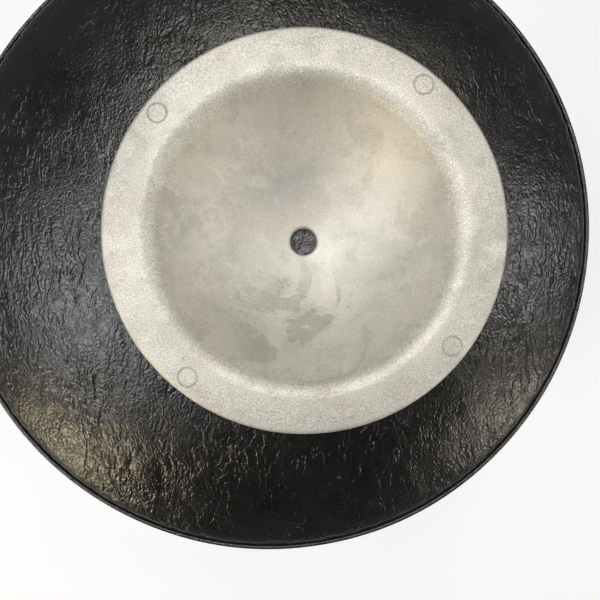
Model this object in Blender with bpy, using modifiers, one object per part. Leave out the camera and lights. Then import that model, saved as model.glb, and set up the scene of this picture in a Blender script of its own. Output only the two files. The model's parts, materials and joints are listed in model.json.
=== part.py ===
"""Drum throne: a round padded seat on a telescoping post and a folding tripod.

A loose cast dish lies on the seat, off its centre. Sizes are in metres, Z is up and the floor is z = 0.
Run it with: blender --background --python part.py
"""

import math

import bmesh
import bpy
from mathutils import Matrix, Vector

GAP = 0.0003              # left between pieces that touch or turn on each other
PAST = 0.010              # how far a cutter runs past the piece it cuts
SEAT_SIDES, FINE, MEDIUM, BOSS_SIDES, COARSE = 36, 32, 20, 16, 10   # of the round pieces

# Seat: a 14 inch round cushion on a plywood board
SEAT_R = 0.178            # to the outside of the welt
SEAT_BOTTOM_Z = 0.4103    # underside of the board, at the lowest height
BAND_H = 0.062            # board underside to the welt's centre line
CROWN_H = 0.0182          # top of the cushion above the welt's centre line
CROWN_POWER = 3.2         # how flat the top is before it rolls over the edge
CROWN_ROOT = 1.9          # how upright the top is at its edge
COVER_T = 0.0015          # cover cloth with its backing
WELT_R = 0.002
PANEL_R = SEAT_R - 2 * WELT_R - 0.0005    # the top panel's edge, inside the welt
BAND_R = SEAT_R - 0.0025                  # the side band's outside, tucked in below the welt
BAND_CORNER = 0.004
BOARD_R = 0.171
BOARD_T = 0.012
HEM_WIDTH = 0.024         # how far the cover is turned in under the board
DUST_COVER_T = 0.0008
DUST_COVER_LAP = 0.010    # of the dust cover over the hem
DUST_COVER_SLACK = 0.002  # round the bracket

# Loose dish: a turned shape, open upwards
DISH_R = 0.0868
DISH_DEPTH = 0.0385       # rim plane to the bottom of the bowl, inside
DISH_WALL = 0.0035
DISH_BOWL_R = 0.0766      # radius of the bowl's spherical inside
DISH_FILLET = 0.010       # between the bowl and the flange
DISH_FLANGE_DROP = 0.0006  # how far the flange's edge lies below its crest
DISH_HOLE_R = 0.0067
DISH_OFFSET = (0.0190, -0.0097)   # dish axis from the seat axis
DISH_RIM_ABOVE_WELT = 0.0606

# Bracket under the seat
FLANGE_R = 0.050
FLANGE_T = 0.005
SOCKET_R = 0.0175
SOCKET_LENGTH = 0.050     # from the top of the flange
SEAT_BOLT_DROP = 0.031    # seat wing bolt below the board
BRACKET_NECK = 0.003      # chamfer between the flange and the socket
BRACKET_BOSS = (0.015, 0.026)     # from the post's axis
BRACKET_PITCH_R = 0.038
BRACKET_BOLT_R = 0.003
BRACKET_BOLT_TIP = 0.0105         # above the board's underside
BRACKET_HEAD_R = 0.0058
BRACKET_HEAD_H = 0.004
BRACKET_HOLE_R = 0.0034
TEE_BARREL_R = 0.0044
TEE_FLANGE_R = 0.009
TEE_FLANGE_T = 0.0015
TEE_SINK = 0.0005         # depth left under the tee nut's flange
TEE_THREAD_SLIP = 0.0002
TEE_BARREL_FLOOR = 0.002  # wood left under the barrel's end

# Post and the tube that it slides in
POST_R = 0.0127
POST_WALL = 0.0015
POST_BOTTOM_Z = 0.100
POST_TOP_DROP = 0.0043    # below the board
POST_CAP_T = 0.002
POST_CAP_PLUG = 0.008
POST_SLIP = 0.00015       # round the post in its socket, bush and lock
TUBE_R = 0.016
TUBE_WALL = 0.0015
TUBE_Z = (0.030, 0.335)
BUSH_LENGTH = 0.045
TUBE_PLUG_UP = 0.010
TUBE_PLUG_T = 0.0035
CLAMP_Z = (0.300, 0.340)
CLAMP_R = 0.022
CLAMP_LUG_REACH = 0.039   # post axis to the end of the clamp's lugs
CLAMP_LUG_HALF = 0.009    # half the width across both lugs
CLAMP_BOLT_X = 0.031
CLAMP_BOLT_TIP = 0.018            # past the post's axis
CLAMP_LIP_SLIP = 0.0005           # between the clamp's top lip and the post
CLAMP_NUT_R = 0.0075
CLAMP_NUT_T = 0.006
LOCK_H = 0.016
LOCK_R = 0.0195
LOCK_LUG_REACH = 0.0275
LOCK_LUG_HALF = 0.0085
LOCK_SCREW_X = 0.0225
LOCK_SCREW_R = 0.0025
LOCK_HEAD = 0.0064                # side of the screw's square head
LOCK_HEAD_LENGTH = 0.008
LUG_ROOT = 0.0012                 # how deep a lug starts inside its ring
LUG_STEP = 0.001                  # how far a lug's top and bottom lie inside its ring's
SLOT = 0.003

# Tripod: each leg is joined to a brace of the same length as its own upper part
LEG_AZIMUTHS = (-90, 30, 150)     # degrees, from +X
SPREAD = math.radians(60)         # of legs and braces from the vertical
PIVOT_R = 0.032                   # post axis to the pivots on both collars
BRACE = 0.115                     # pivot to pivot
BRACE_Z = 0.045                   # pivots on the lower collar
FOOT_PIVOT_Z = 0.023
FOOT_R = 0.015
FOOT_TOP_R = 0.0115
FOOT_PAD_H = 0.011
FOOT_BEVEL = 0.0005
TONGUE_TOP_R = 0.009
TONGUE_LOW_R = 0.0065
TONGUE_LOW = 0.008                # from the floor to the middle of the tongue's lower end
COLLAR_R = 0.021
COLLAR_H = 0.024
COLLAR_CHAMFER = 0.001
EAR_R = 0.008
EAR_ROOT = 0.0015                 # from the tube to the start of an ear
GRUB_R = 0.0025
STRIP_T = 0.002
BRACE_STRIP_R = 0.008             # half the width, and the radius of the ends
LEG_STRIP_R = 0.010
LOWER_EAR_T = 0.005
BRACE_Y = LOWER_EAR_T / 2 + GAP + STRIP_T / 2     # centre of a brace strip from the leg's plane
LEG_Y = BRACE_Y + STRIP_T + GAP
UPPER_EAR_T = 2 * (LEG_Y - STRIP_T / 2 - GAP)
PIN_R = 0.003
PIN_HOLE_R = PIN_R + GAP
PIN_HEAD_R = 0.005
PIN_HEAD_H = 0.0016

# Wing bolts
BOLT_R = 0.0038
BOLT_HOLE_R = BOLT_R + GAP
HUB_R = 0.0065
HUB_LENGTH = 0.012
WING_T = 0.0032
WING_ROOT = (0.007, 0.002, 0.004)      # along the hub, off its axis, radius
WING_LOBE = (0.0135, 0.0115, 0.0055)
BOSS_R = 0.0075
COLLAR_BOSS_REACH = 0.027

WELT_Z = SEAT_BOTTOM_Z + BAND_H
BOARD_TOP_Z = SEAT_BOTTOM_Z + BOARD_T
LEG_PIVOT_Z = BRACE_Z + 2 * BRACE * math.cos(SPREAD)
LEG = (LEG_PIVOT_Z - FOOT_PIVOT_Z) / math.cos(SPREAD)
FOOT_REACH = PIVOT_R + LEG * math.sin(SPREAD) + FOOT_R
AXIS_Y = (FOOT_REACH - SEAT_R) / 2    # puts the middle of the whole box over the origin

# finish: colour (linear), roughness, metallic
FINISHES = {
    "black_vinyl": ((0.022, 0.021, 0.019), 0.42, 0.0),
    "cast_aluminium": ((0.62, 0.60, 0.54), 0.42, 1.0),
    "chromed_steel": ((0.60, 0.60, 0.61), 0.14, 1.0),
    "zinc_steel": ((0.46, 0.46, 0.44), 0.38, 1.0),
    "die_cast_zinc": ((0.50, 0.50, 0.50), 0.30, 1.0),
    "black_steel": ((0.025, 0.025, 0.026), 0.45, 0.6),
    "black_nylon": ((0.020, 0.020, 0.021), 0.55, 0.0),
    "black_rubber": ((0.013, 0.013, 0.013), 0.80, 0.0),
    "polyether_foam": ((0.60, 0.50, 0.30), 0.95, 0.0),
    "birch_plywood": ((0.50, 0.34, 0.18), 0.65, 0.0),
    "spunbond_cloth": ((0.030, 0.030, 0.032), 0.90, 0.0),
}


def clear_scene():
    """Removes the scene's objects and makes the two collections."""
    for obj in list(bpy.data.objects):
        bpy.data.objects.remove(obj, do_unlink=True)
    for name in ("drum_throne", "cutters"):
        bpy.context.scene.collection.children.link(bpy.data.collections.new(name))


def material(node, finish):
    """A Principled material of the named finish, for one node."""
    colour, roughness, metallic = FINISHES[finish]
    mat = bpy.data.materials.new(f"{node}_{finish}")
    mat.use_nodes = True
    shader = mat.node_tree.nodes["Principled BSDF"]
    shader.inputs["Base Color"].default_value = (*colour, 1.0)
    shader.inputs["Roughness"].default_value = roughness
    shader.inputs["Metallic"].default_value = metallic
    mat.diffuse_color = (*colour, 1.0)
    return mat


def part(obj, finish, parent, location=(0, 0, 0), rotation=(0, 0, 0)):
    """Makes a loose object one of the throne's parts, placed in its parent's frame."""
    bpy.data.collections["drum_throne"].objects.link(obj)
    obj.data.materials.append(material(obj.name, finish))
    obj.parent = parent
    obj.location = location
    obj.rotation_euler = rotation
    return obj


def pivot(name, parent=None, location=(0, 0, 0), turn_z=0.0):
    """An empty that a group of parts hangs on, set on the group's joint axis."""
    empty = bpy.data.objects.new(name, None)
    bpy.data.collections["drum_throne"].objects.link(empty)
    empty.parent = parent
    empty.location = location
    empty.rotation_euler = (0, 0, turn_z)
    return empty


def from_bmesh(name, bm):
    mesh = bpy.data.meshes.new(name)
    bm.to_mesh(mesh)
    bm.free()
    mesh.shade_smooth()
    mesh.set_sharp_from_angle(angle=math.radians(35))
    return bpy.data.objects.new(name, mesh)


def turned(name, profile, steps, closed=True):
    """The profile of (radius, z) points turned about Z. It runs down its outer side, top to bottom."""
    count = len(profile)
    edges = [(i, (i + 1) % count) for i in range(count if closed else count - 1)]
    mesh = bpy.data.meshes.new(name)
    mesh.from_pydata([(r, 0, z) for r, z in profile], edges, [])
    obj = bpy.data.objects.new(name, mesh)
    screw = obj.modifiers.new("turn", "SCREW")
    screw.steps = screw.render_steps = steps
    screw.use_merge_vertices = True
    screw.merge_threshold = 1e-6
    screw.use_smooth_shade = True
    return obj


def ring(name, inner, outer, z0, z1, steps):
    """A plain tube between two radii and two heights."""
    return turned(name, [(outer, z1), (outer, z0), (inner, z0), (inner, z1)], steps)


def rod(name, radius, start, end, steps=COARSE):
    """A closed cylinder between two points."""
    start, end = Vector(start), Vector(end)
    turn = (end - start).to_track_quat("Z", "Y").to_matrix().to_4x4()
    bm = bmesh.new()
    bmesh.ops.create_cone(
        bm, cap_ends=True, segments=steps, radius1=radius, radius2=radius,
        depth=(end - start).length, matrix=Matrix.Translation((start + end) / 2) @ turn,
    )
    return from_bmesh(name, bm)


def block(name, low, high):
    """A box between two corners."""
    low, high = Vector(low), Vector(high)
    bm = bmesh.new()
    place = Matrix.Translation((low + high) / 2) @ Matrix.Diagonal((*(high - low), 1))
    bmesh.ops.create_cube(bm, size=1, matrix=place)
    return from_bmesh(name, bm)


def circle(x, y, radius, steps=COARSE):
    angles = [2 * math.pi * i / steps for i in range(steps)]
    return [(x + radius * math.cos(a), y + radius * math.sin(a)) for a in angles]


def capsule(p, p_radius, q, q_radius, steps=7):
    """The outline round two circles at p and q, with its straight sides tangent to both."""
    run = Vector(q) - Vector(p)
    aim = math.atan2(run.y, run.x)
    half = math.acos((p_radius - q_radius) / run.length)
    points = []
    for (x, y), radius, first, last in (
        (q, q_radius, aim - half, aim + half),
        (p, p_radius, aim + half, aim - half + 2 * math.pi),
    ):
        for i in range(steps):
            angle = first + (last - first) * i / (steps - 1)
            points.append((x + radius * math.cos(angle), y + radius * math.sin(angle)))
    return points


def tongue(x0, x1, radius, steps=7):
    """An outline that is square at x0 and round about x1."""
    points = [(x0, radius), (x0, -radius)]
    for i in range(steps):
        angle = math.pi * (i / (steps - 1) - 0.5)
        points.append((x1 + radius * math.cos(angle), radius * math.sin(angle)))
    return points


def plate(name, outlines, thickness):
    """A flat plate in the XY plane, centred on it. The outlines after the first are holes."""
    curve = bpy.data.curves.new(name, "CURVE")
    curve.dimensions = "2D"
    curve.fill_mode = "BOTH"
    curve.extrude = thickness / 2
    for outline in outlines:
        spline = curve.splines.new("POLY")
        spline.points.add(len(outline) - 1)
        for point, (x, y) in zip(spline.points, outline):
            point.co = (x, y, 0, 1)
        spline.use_cyclic_u = True
    return bpy.data.objects.new(name, curve)


def solid_plate(name, outlines, thickness, place):
    """A plate turned into a welded mesh, moved by the matrix, for a Boolean."""
    flat = plate(name, outlines, thickness)
    bpy.context.scene.collection.objects.link(flat)
    shape = flat.evaluated_get(bpy.context.evaluated_depsgraph_get())
    bm = bmesh.new()
    bm.from_mesh(bpy.data.meshes.new_from_object(shape))
    bmesh.ops.remove_doubles(bm, verts=bm.verts, dist=1e-6)
    bmesh.ops.transform(bm, matrix=place, verts=bm.verts)
    bpy.data.objects.remove(flat)
    return from_bmesh(name, bm)


def boolean(obj, other, operation):
    """Cuts the other object out of obj, or joins it to obj. The other is placed in obj's own frame."""
    bpy.data.collections["cutters"].objects.link(other)
    other.hide_render = True
    other.display_type = "WIRE"
    other.parent = obj
    step = obj.modifiers.new(other.name, "BOOLEAN")
    step.operation = operation
    step.object = other
    step.solver = "EXACT"


def cut(obj, other):
    boolean(obj, other, "DIFFERENCE")


def join(obj, other):
    boolean(obj, other, "UNION")


def crown(r, edge, height):
    """Height of the cushion's top at radius r: flat in the middle, and rolled over at the edge."""
    return height * (1 - min(r / edge, 1.0) ** CROWN_POWER) ** (1 / CROWN_ROOT)


def crown_profile(edge, height, steps=7):
    """Points down the cushion's top from its middle to its edge, closer together near the edge."""
    radii = [edge * math.sin(0.5 * math.pi * i / steps) for i in range(steps + 1)]
    return [(r, WELT_Z + crown(r, edge, height)) for r in radii]


def top_panel(seat):
    """The cover's round top: a thin shell that ends inside the welt."""
    skirt = WELT_Z - WELT_R
    inner = PANEL_R - COVER_T
    outside = crown_profile(PANEL_R, CROWN_H) + [(PANEL_R, skirt)]
    inside = crown_profile(inner, CROWN_H - COVER_T) + [(inner, skirt)]
    shell = turned("top_panel", outside + inside[::-1], SEAT_SIDES, closed=False)
    part(shell, "black_vinyl", seat)


def foam_pad(seat):
    """The foam block that fills the cover, down to the board."""
    inset = COVER_T + GAP
    edge = PANEL_R - inset
    bottom = BOARD_TOP_Z + GAP
    profile = crown_profile(edge, CROWN_H - inset) + [(edge, bottom), (0, bottom)]
    part(turned("foam_pad", profile, SEAT_SIDES, closed=False), "polyether_foam", seat)


def side_band(seat):
    """The cover's side, with its hem turned in under the board."""
    outer = BAND_R
    inner = outer - COVER_T
    top = WELT_Z - WELT_R - GAP
    hem_top = SEAT_BOTTOM_Z - GAP
    hem_bottom = hem_top - COVER_T
    corner, inner_corner = BAND_CORNER, 0.7 * BAND_CORNER
    hem_r = BOARD_R - HEM_WIDTH
    profile = [
        (outer, top), (outer, hem_bottom + corner), (outer - corner, hem_bottom), (hem_r, hem_bottom),
        (hem_r, hem_top), (inner - inner_corner, hem_top), (inner, hem_top + inner_corner), (inner, top),
    ]
    part(turned("side_band", profile, SEAT_SIDES), "black_vinyl", seat)


def top_welt(seat):
    """The cord sewn between the top panel and the side band."""
    section = [(SEAT_R - WELT_R + x, WELT_Z - y) for x, y in circle(0, 0, WELT_R, 6)]
    part(turned("top_welt", section, SEAT_SIDES), "black_vinyl", seat)


def around(count, radius, first_degrees):
    """Points spaced evenly round a circle."""
    angles = [math.radians(first_degrees + 360 * i / count) for i in range(count)]
    return [(radius * math.cos(a), radius * math.sin(a)) for a in angles]


def seat_board(seat):
    """The plywood board, bored for four tee nuts that lie flush with its top."""
    top = BOARD_TOP_Z
    board = rod("seat_board", BOARD_R, (0, 0, SEAT_BOTTOM_Z), (0, 0, top), SEAT_SIDES)
    for i, (x, y) in enumerate(around(4, BRACKET_PITCH_R, 45)):
        over, under = top + PAST, SEAT_BOTTOM_Z - PAST
        sink = top - TEE_FLANGE_T - TEE_SINK
        r_sink, r_hole = TEE_FLANGE_R + GAP, TEE_BARREL_R + GAP
        stepped = [(0, over), (r_sink, over), (r_sink, sink), (r_hole, sink), (r_hole, under), (0, under)]
        bore = turned(f"board_bore_{i + 1}", stepped, COARSE, closed=False)
        bore.location = (x, y, 0)
        cut(board, bore)
    part(board, "birch_plywood", seat)


def dust_cover(seat):
    """The cloth disc stapled over the hem, with a hole for the bracket."""
    top = SEAT_BOTTOM_Z - 2 * GAP - COVER_T
    hole, edge = FLANGE_R + DUST_COVER_SLACK, BOARD_R - HEM_WIDTH + DUST_COVER_LAP
    part(ring("dust_cover", hole, edge, top - DUST_COVER_T, top, SEAT_SIDES), "spunbond_cloth", seat)


def seat_bracket(seat):
    """A flange under the board with a socket for the post, and a boss for the wing bolt."""
    top = SEAT_BOTTOM_Z - GAP
    under = top - FLANGE_T
    bottom = SEAT_BOTTOM_Z - SOCKET_LENGTH
    bore = POST_R + POST_SLIP
    profile = [
        (FLANGE_R, top), (FLANGE_R, under), (SOCKET_R + BRACKET_NECK, under),
        (SOCKET_R, under - BRACKET_NECK), (SOCKET_R, bottom), (bore, bottom), (bore, top),
    ]
    bracket = turned("seat_bracket", profile, FINE)
    bolt_z = SEAT_BOTTOM_Z - SEAT_BOLT_DROP
    root, face = BRACKET_BOSS
    join(bracket, rod("bracket_boss", BOSS_R, (-root, 0, bolt_z), (-face, 0, bolt_z), BOSS_SIDES))
    cut(bracket, rod("bracket_boss_hole", BOLT_HOLE_R, (PAST - POST_R, 0, bolt_z), (-face - PAST, 0, bolt_z)))
    for i, (x, y) in enumerate(around(4, BRACKET_PITCH_R, 45)):
        cut(bracket, rod(f"bracket_hole_{i + 1}", BRACKET_HOLE_R, (x, y, top + PAST), (x, y, under - PAST)))
    part(bracket, "black_steel", seat)


def bracket_bolts(seat):
    """Four hexagon bolts through the flange, and the tee nuts in the board that they screw into."""
    under = SEAT_BOTTOM_Z - GAP - FLANGE_T
    tip = SEAT_BOTTOM_Z + BRACKET_BOLT_TIP
    nut_top = BOARD_TOP_Z - GAP
    lip = nut_top - TEE_FLANGE_T
    foot_z = SEAT_BOTTOM_Z + TEE_BARREL_FLOOR
    bore = BRACKET_BOLT_R + TEE_THREAD_SLIP
    barrel = [
        (TEE_FLANGE_R, nut_top), (TEE_FLANGE_R, lip), (TEE_BARREL_R, lip),
        (TEE_BARREL_R, foot_z), (bore, foot_z), (bore, nut_top),
    ]
    face = under - GAP
    for i, (x, y) in enumerate(around(4, BRACKET_PITCH_R, 45)):
        bolt = rod(f"bracket_bolt_{i + 1}", BRACKET_HEAD_R, (0, 0, face - BRACKET_HEAD_H), (0, 0, face), 6)
        shank_z = face - 0.5 * BRACKET_HEAD_H
        join(bolt, rod(f"bolt_shank_{i + 1}", BRACKET_BOLT_R, (0, 0, shank_z), (0, 0, tip)))
        part(bolt, "zinc_steel", seat, (x, y, 0))
        part(turned(f"tee_nut_{i + 1}", barrel, COARSE), "zinc_steel", seat, (x, y, 0))


def wing_bolt(name, length, finish, parent, location, rotation):
    """A wing bolt along its own +X: the tip at the origin, then the shank, the hub and two wings."""
    bolt = rod(name, BOLT_R, (0, 0, 0), (length + 0.2 * HUB_LENGTH, 0, 0))
    join(bolt, rod(f"{name}_hub", HUB_R, (length, 0, 0), (length + HUB_LENGTH, 0, 0), BOSS_SIDES))
    (root_x, root_y, root_r), (lobe_x, lobe_y, lobe_r) = WING_ROOT, WING_LOBE
    for side in (-1, 1):
        root, lobe = (length + root_x, side * root_y), (length + lobe_x, side * lobe_y)
        wing = [capsule(root, root_r, lobe, lobe_r)]
        join(bolt, solid_plate(f"{name}_wing_{side + 2}", wing, WING_T, Matrix()))
    part(bolt, finish, parent, location, rotation)


def dish_profile():
    """The dish's section, clockwise from the crest of its flange: edge, underside, hole, bowl."""
    centre_z = DISH_BOWL_R - DISH_DEPTH
    fillet_r = math.sqrt((DISH_BOWL_R + DISH_FILLET) ** 2 - (centre_z + DISH_FILLET) ** 2)
    tangent = math.atan2(fillet_r, centre_z + DISH_FILLET)
    half = DISH_WALL / 2
    edge_r, edge_z = DISH_R - half, -half - DISH_FLANGE_DROP

    def bowl(radius, steps, from_angle, to_angle):
        angles = [from_angle + (to_angle - from_angle) * i / steps for i in range(steps + 1)]
        return [(radius * math.sin(a), centre_z - radius * math.cos(a)) for a in angles]

    def fillet(radius, steps, from_angle, to_angle):
        angles = [from_angle + (to_angle - from_angle) * i / steps for i in range(steps + 1)]
        return [(fillet_r - radius * math.sin(a), -DISH_FILLET + radius * math.cos(a)) for a in angles]

    lip = [0.5 * math.pi * (1 - i / 2) for i in range(5)]
    edge = [(edge_r + half * math.cos(a), edge_z + half * math.sin(a)) for a in lip]
    outer_r, inner_r = DISH_BOWL_R + DISH_WALL, DISH_BOWL_R
    under = fillet(DISH_FILLET - DISH_WALL, 2, 0, tangent)
    under += bowl(outer_r, 5, tangent, math.asin(DISH_HOLE_R / outer_r))[1:]
    inside = bowl(inner_r, 5, math.asin(DISH_HOLE_R / inner_r), tangent)
    inside += fillet(DISH_FILLET, 3, tangent, 0)[1:]
    return edge + under + inside


def cast_dish(seat):
    """The loose dish, bowl up, with its bottom on the seat."""
    place = (*DISH_OFFSET, WELT_Z + DISH_RIM_ABOVE_WELT)
    part(turned("cast_dish", dish_profile(), SEAT_SIDES), "cast_aluminium", seat, place)


def post_parts(post):
    """The seat post with the plug in its top end."""
    top = SEAT_BOTTOM_Z - POST_TOP_DROP
    bore = POST_R - POST_WALL
    part(ring("post", bore, POST_R, POST_BOTTOM_Z, top, FINE), "chromed_steel", post)
    seat_z, cap_z, plug_z, edge = top + GAP, top + GAP + POST_CAP_T, top - POST_CAP_PLUG, POST_R - POST_SLIP
    cap = [(0, cap_z), (edge, cap_z), (edge, seat_z), (bore - GAP, seat_z), (bore - GAP, plug_z), (0, plug_z)]
    part(turned("post_cap", cap, MEDIUM, closed=False), "black_nylon", post)


def split_clamp(name, inner, outer, lip, z0, z1, reach, half_width, bolt_x, hole_r):
    """A ring split at +X, with a lug each side of the split and a hole across both.

    A lip, unless it is as wide as the bore, closes the top of the ring over the tube's end.
    """
    lip_z = TUBE_Z[1] + GAP
    profile = [(outer, z1), (outer, z0), (inner, z0)]
    if lip < inner:
        profile += [(inner, lip_z), (lip, lip_z)]
    profile += [(lip, z1)]
    clamp = turned(name, profile, FINE)
    middle = (z0 + z1) / 2
    rise = 0.5 * (z1 - z0) - LUG_STEP
    lug_x = inner + LUG_ROOT
    join(clamp, block(f"{name}_lug", (lug_x, -half_width, middle - rise), (reach, half_width, middle + rise)))
    low, high = (0.3 * inner, -SLOT / 2, z0 - PAST), (reach + PAST, SLOT / 2, z1 + PAST)
    cut(clamp, block(f"{name}_slot", low, high))
    across = half_width + PAST
    cut(clamp, rod(f"{name}_hole", hole_r, (bolt_x, -across, middle), (bolt_x, across, middle)))
    return clamp


def memory_lock(post):
    """The split ring that sits on the clamp and keeps the height, with its square-headed screw."""
    z0 = CLAMP_Z[1] + GAP
    inner = POST_R + POST_SLIP
    lock = split_clamp(
        "memory_lock", inner, LOCK_R, inner, z0, z0 + LOCK_H,
        LOCK_LUG_REACH, LOCK_LUG_HALF, LOCK_SCREW_X, LOCK_SCREW_R + GAP,
    )
    part(lock, "die_cast_zinc", post)
    x, z, side = LOCK_SCREW_X, z0 + LOCK_H / 2, LOCK_HEAD / 2
    head_y = -LOCK_LUG_HALF - GAP
    start, end = (x, head_y - 0.25 * LOCK_HEAD_LENGTH, z), (x, LOCK_LUG_HALF + 2 * LUG_STEP, z)
    screw = rod("memory_lock_screw", LOCK_SCREW_R, start, end)
    low, high = (x - side, head_y - LOCK_HEAD_LENGTH, z - side), (x + side, head_y, z + side)
    join(screw, block("memory_lock_screw_head", low, high))
    part(screw, "zinc_steel", post)


def tube_parts(base):
    """The fixed tube with its bush, its bottom plug and the clamp that holds the post."""
    bore = TUBE_R - TUBE_WALL
    bottom, top = TUBE_Z
    part(ring("lower_tube", bore, TUBE_R, bottom, top, FINE), "chromed_steel", base)
    bush = ring("post_bush", POST_R + POST_SLIP, bore - GAP, top - BUSH_LENGTH, top, FINE)
    part(bush, "black_nylon", base)
    plug_top, plug_bottom = bottom + TUBE_PLUG_UP, bottom - TUBE_PLUG_T
    plug = [
        (0, plug_top), (bore - GAP, plug_top), (bore - GAP, bottom - GAP),
        (TUBE_R, bottom - GAP), (TUBE_R - COLLAR_CHAMFER, plug_bottom), (0, plug_bottom),
    ]
    part(turned("tube_plug", plug, MEDIUM, closed=False), "black_nylon", base)
    clamp = split_clamp(
        "tube_clamp", TUBE_R + GAP, CLAMP_R, POST_R + CLAMP_LIP_SLIP, *CLAMP_Z,
        CLAMP_LUG_REACH, CLAMP_LUG_HALF, CLAMP_BOLT_X, BOLT_HOLE_R,
    )
    part(clamp, "die_cast_zinc", base)


def clamp_fixings(base):
    """The clamp's wing bolt, which points along +Y, and its nut."""
    face = CLAMP_LUG_HALF + GAP
    start = (CLAMP_BOLT_X, CLAMP_BOLT_TIP, sum(CLAMP_Z) / 2)
    length = CLAMP_BOLT_TIP + face
    wing_bolt("clamp_wing_bolt", length, "zinc_steel", base, start, (0, 0, -math.pi / 2))
    end = face + CLAMP_NUT_T
    nut = rod("clamp_nut", CLAMP_NUT_R, (0, face, 0), (0, end, 0), 6)
    cut(nut, rod("clamp_nut_thread", BOLT_HOLE_R, (0, face - PAST, 0), (0, end + PAST, 0)))
    part(nut, "zinc_steel", base, (CLAMP_BOLT_X, 0, sum(CLAMP_Z) / 2))


def eared_collar(name, ear_thickness):
    """A ring round the tube, its middle at z = 0, with an ear in the plane of each leg."""
    half, inner, rim = COLLAR_H / 2, TUBE_R + GAP, COLLAR_R - COLLAR_CHAMFER
    side = half - COLLAR_CHAMFER
    collar = turned(name, [
        (rim, half), (COLLAR_R, side), (COLLAR_R, -side), (rim, -half), (inner, -half), (inner, half),
    ], FINE)
    outlines = [tongue(TUBE_R + EAR_ROOT, PIVOT_R, EAR_R), circle(PIVOT_R, 0, PIN_HOLE_R)]
    upright = Matrix.Rotation(math.pi / 2, 4, "X")
    for i, azimuth in enumerate(LEG_AZIMUTHS):
        place = Matrix.Rotation(math.radians(azimuth), 4, "Z") @ upright
        join(collar, solid_plate(f"{name}_ear_{i + 1}", outlines, ear_thickness, place))
    return collar


def lower_collar(base):
    """The collar fixed to the bottom of the tube, with its grub screw at +Y."""
    collar = eared_collar("lower_collar", LOWER_EAR_T)
    inside, outside = TUBE_R + GAP, COLLAR_R + COLLAR_CHAMFER
    cut(collar, rod("lower_collar_hole", GRUB_R + GAP, (0, inside - 0.5 * PAST, 0), (0, outside + PAST, 0)))
    part(collar, "die_cast_zinc", base, (0, 0, BRACE_Z))
    screw = rod("lower_collar_screw", GRUB_R, (0, inside, 0), (0, outside, 0))
    part(screw, "black_steel", base, (0, 0, BRACE_Z))


def leg_collar(hinge):
    """The collar that slides on the tube, hung on leg 1, with its wing bolt at +Y."""
    collar = eared_collar("leg_collar", UPPER_EAR_T)
    boss_root = (TUBE_R + COLLAR_R) / 2
    join(collar, rod("leg_collar_boss", BOSS_R, (0, boss_root, 0), (0, COLLAR_BOSS_REACH, 0), BOSS_SIDES))
    hole = (0, TUBE_R - 0.5 * PAST, 0), (0, COLLAR_BOSS_REACH + PAST, 0)
    cut(collar, rod("leg_collar_hole", BOLT_HOLE_R, *hole))
    turn = -math.radians(LEG_AZIMUTHS[0])
    centre = (-PIVOT_R, 0, 0)
    part(collar, "die_cast_zinc", hinge, centre, (0, 0, turn))
    middle = pivot("leg_collar_middle", hinge, centre, turn)
    for i, azimuth in enumerate(LEG_AZIMUTHS):
        angle = math.radians(azimuth)
        place = (PIVOT_R * math.cos(angle), PIVOT_R * math.sin(angle), 0)
        rivet(f"leg_pin_{i + 1}", LEG_Y, middle, place, angle)
    start = (0, TUBE_R + GAP, 0)
    length = COLLAR_BOSS_REACH - TUBE_R
    wing_bolt("collar_wing_bolt", length, "zinc_steel", middle, start, (0, 0, math.pi / 2))


def rivet(name, strip_y, parent, location=(0, 0, 0), turn_z=0.0):
    """A rivet across a pair of strips, whose centres lie strip_y each side of the leg's plane."""
    grip = strip_y + STRIP_T / 2 + GAP
    half = [(PIN_R, grip), (PIN_HEAD_R, grip), (0.7 * PIN_HEAD_R, grip + PIN_HEAD_H), (0, grip + PIN_HEAD_H)]
    profile = half[::-1] + [(r, -z) for r, z in half]
    pin = turned(name, profile, COARSE, closed=False)
    part(pin, "zinc_steel", parent, location, (math.pi / 2, 0, turn_z))


def strips(name, length, radius, y, tilt, hole_places, parent, location):
    """A pair of flat bars either side of the leg's plane, from the location along the tilted +X."""
    outlines = [capsule((0, 0), radius, (length, 0), radius)]
    outlines += [circle(x, 0, PIN_HOLE_R) for x in hole_places]
    x, _, z = location
    for side, label in ((-1, "right"), (1, "left")):
        bar = plate(f"{name}_{label}", outlines, STRIP_T)
        part(bar, "chromed_steel", parent, (x, side * y, z), (math.pi / 2, tilt, 0))


def foot(name, hinge, location):
    """A rubber foot: a flat round pad with a tongue that the leg's two strips hold."""
    height = FOOT_PIVOT_Z
    top, shoulder = FOOT_PAD_H - height, FOOT_R - 2 * FOOT_BEVEL
    pad = turned(name, [
        (0, top), (FOOT_TOP_R, top), (shoulder, top - (shoulder - FOOT_TOP_R)),
        (FOOT_R, 2 * FOOT_BEVEL - height), (FOOT_R - FOOT_BEVEL, -height), (0, -height),
    ], MEDIUM, closed=False)
    low = (0, TONGUE_LOW - height)
    outlines = [capsule((0, 0), TONGUE_TOP_R, low, TONGUE_LOW_R), circle(0, 0, PIN_HOLE_R)]
    upright = Matrix.Rotation(math.pi / 2, 4, "X")
    join(pad, solid_plate(f"{name}_tongue", outlines, UPPER_EAR_T, upright))
    part(pad, "black_rubber", hinge, location)


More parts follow.
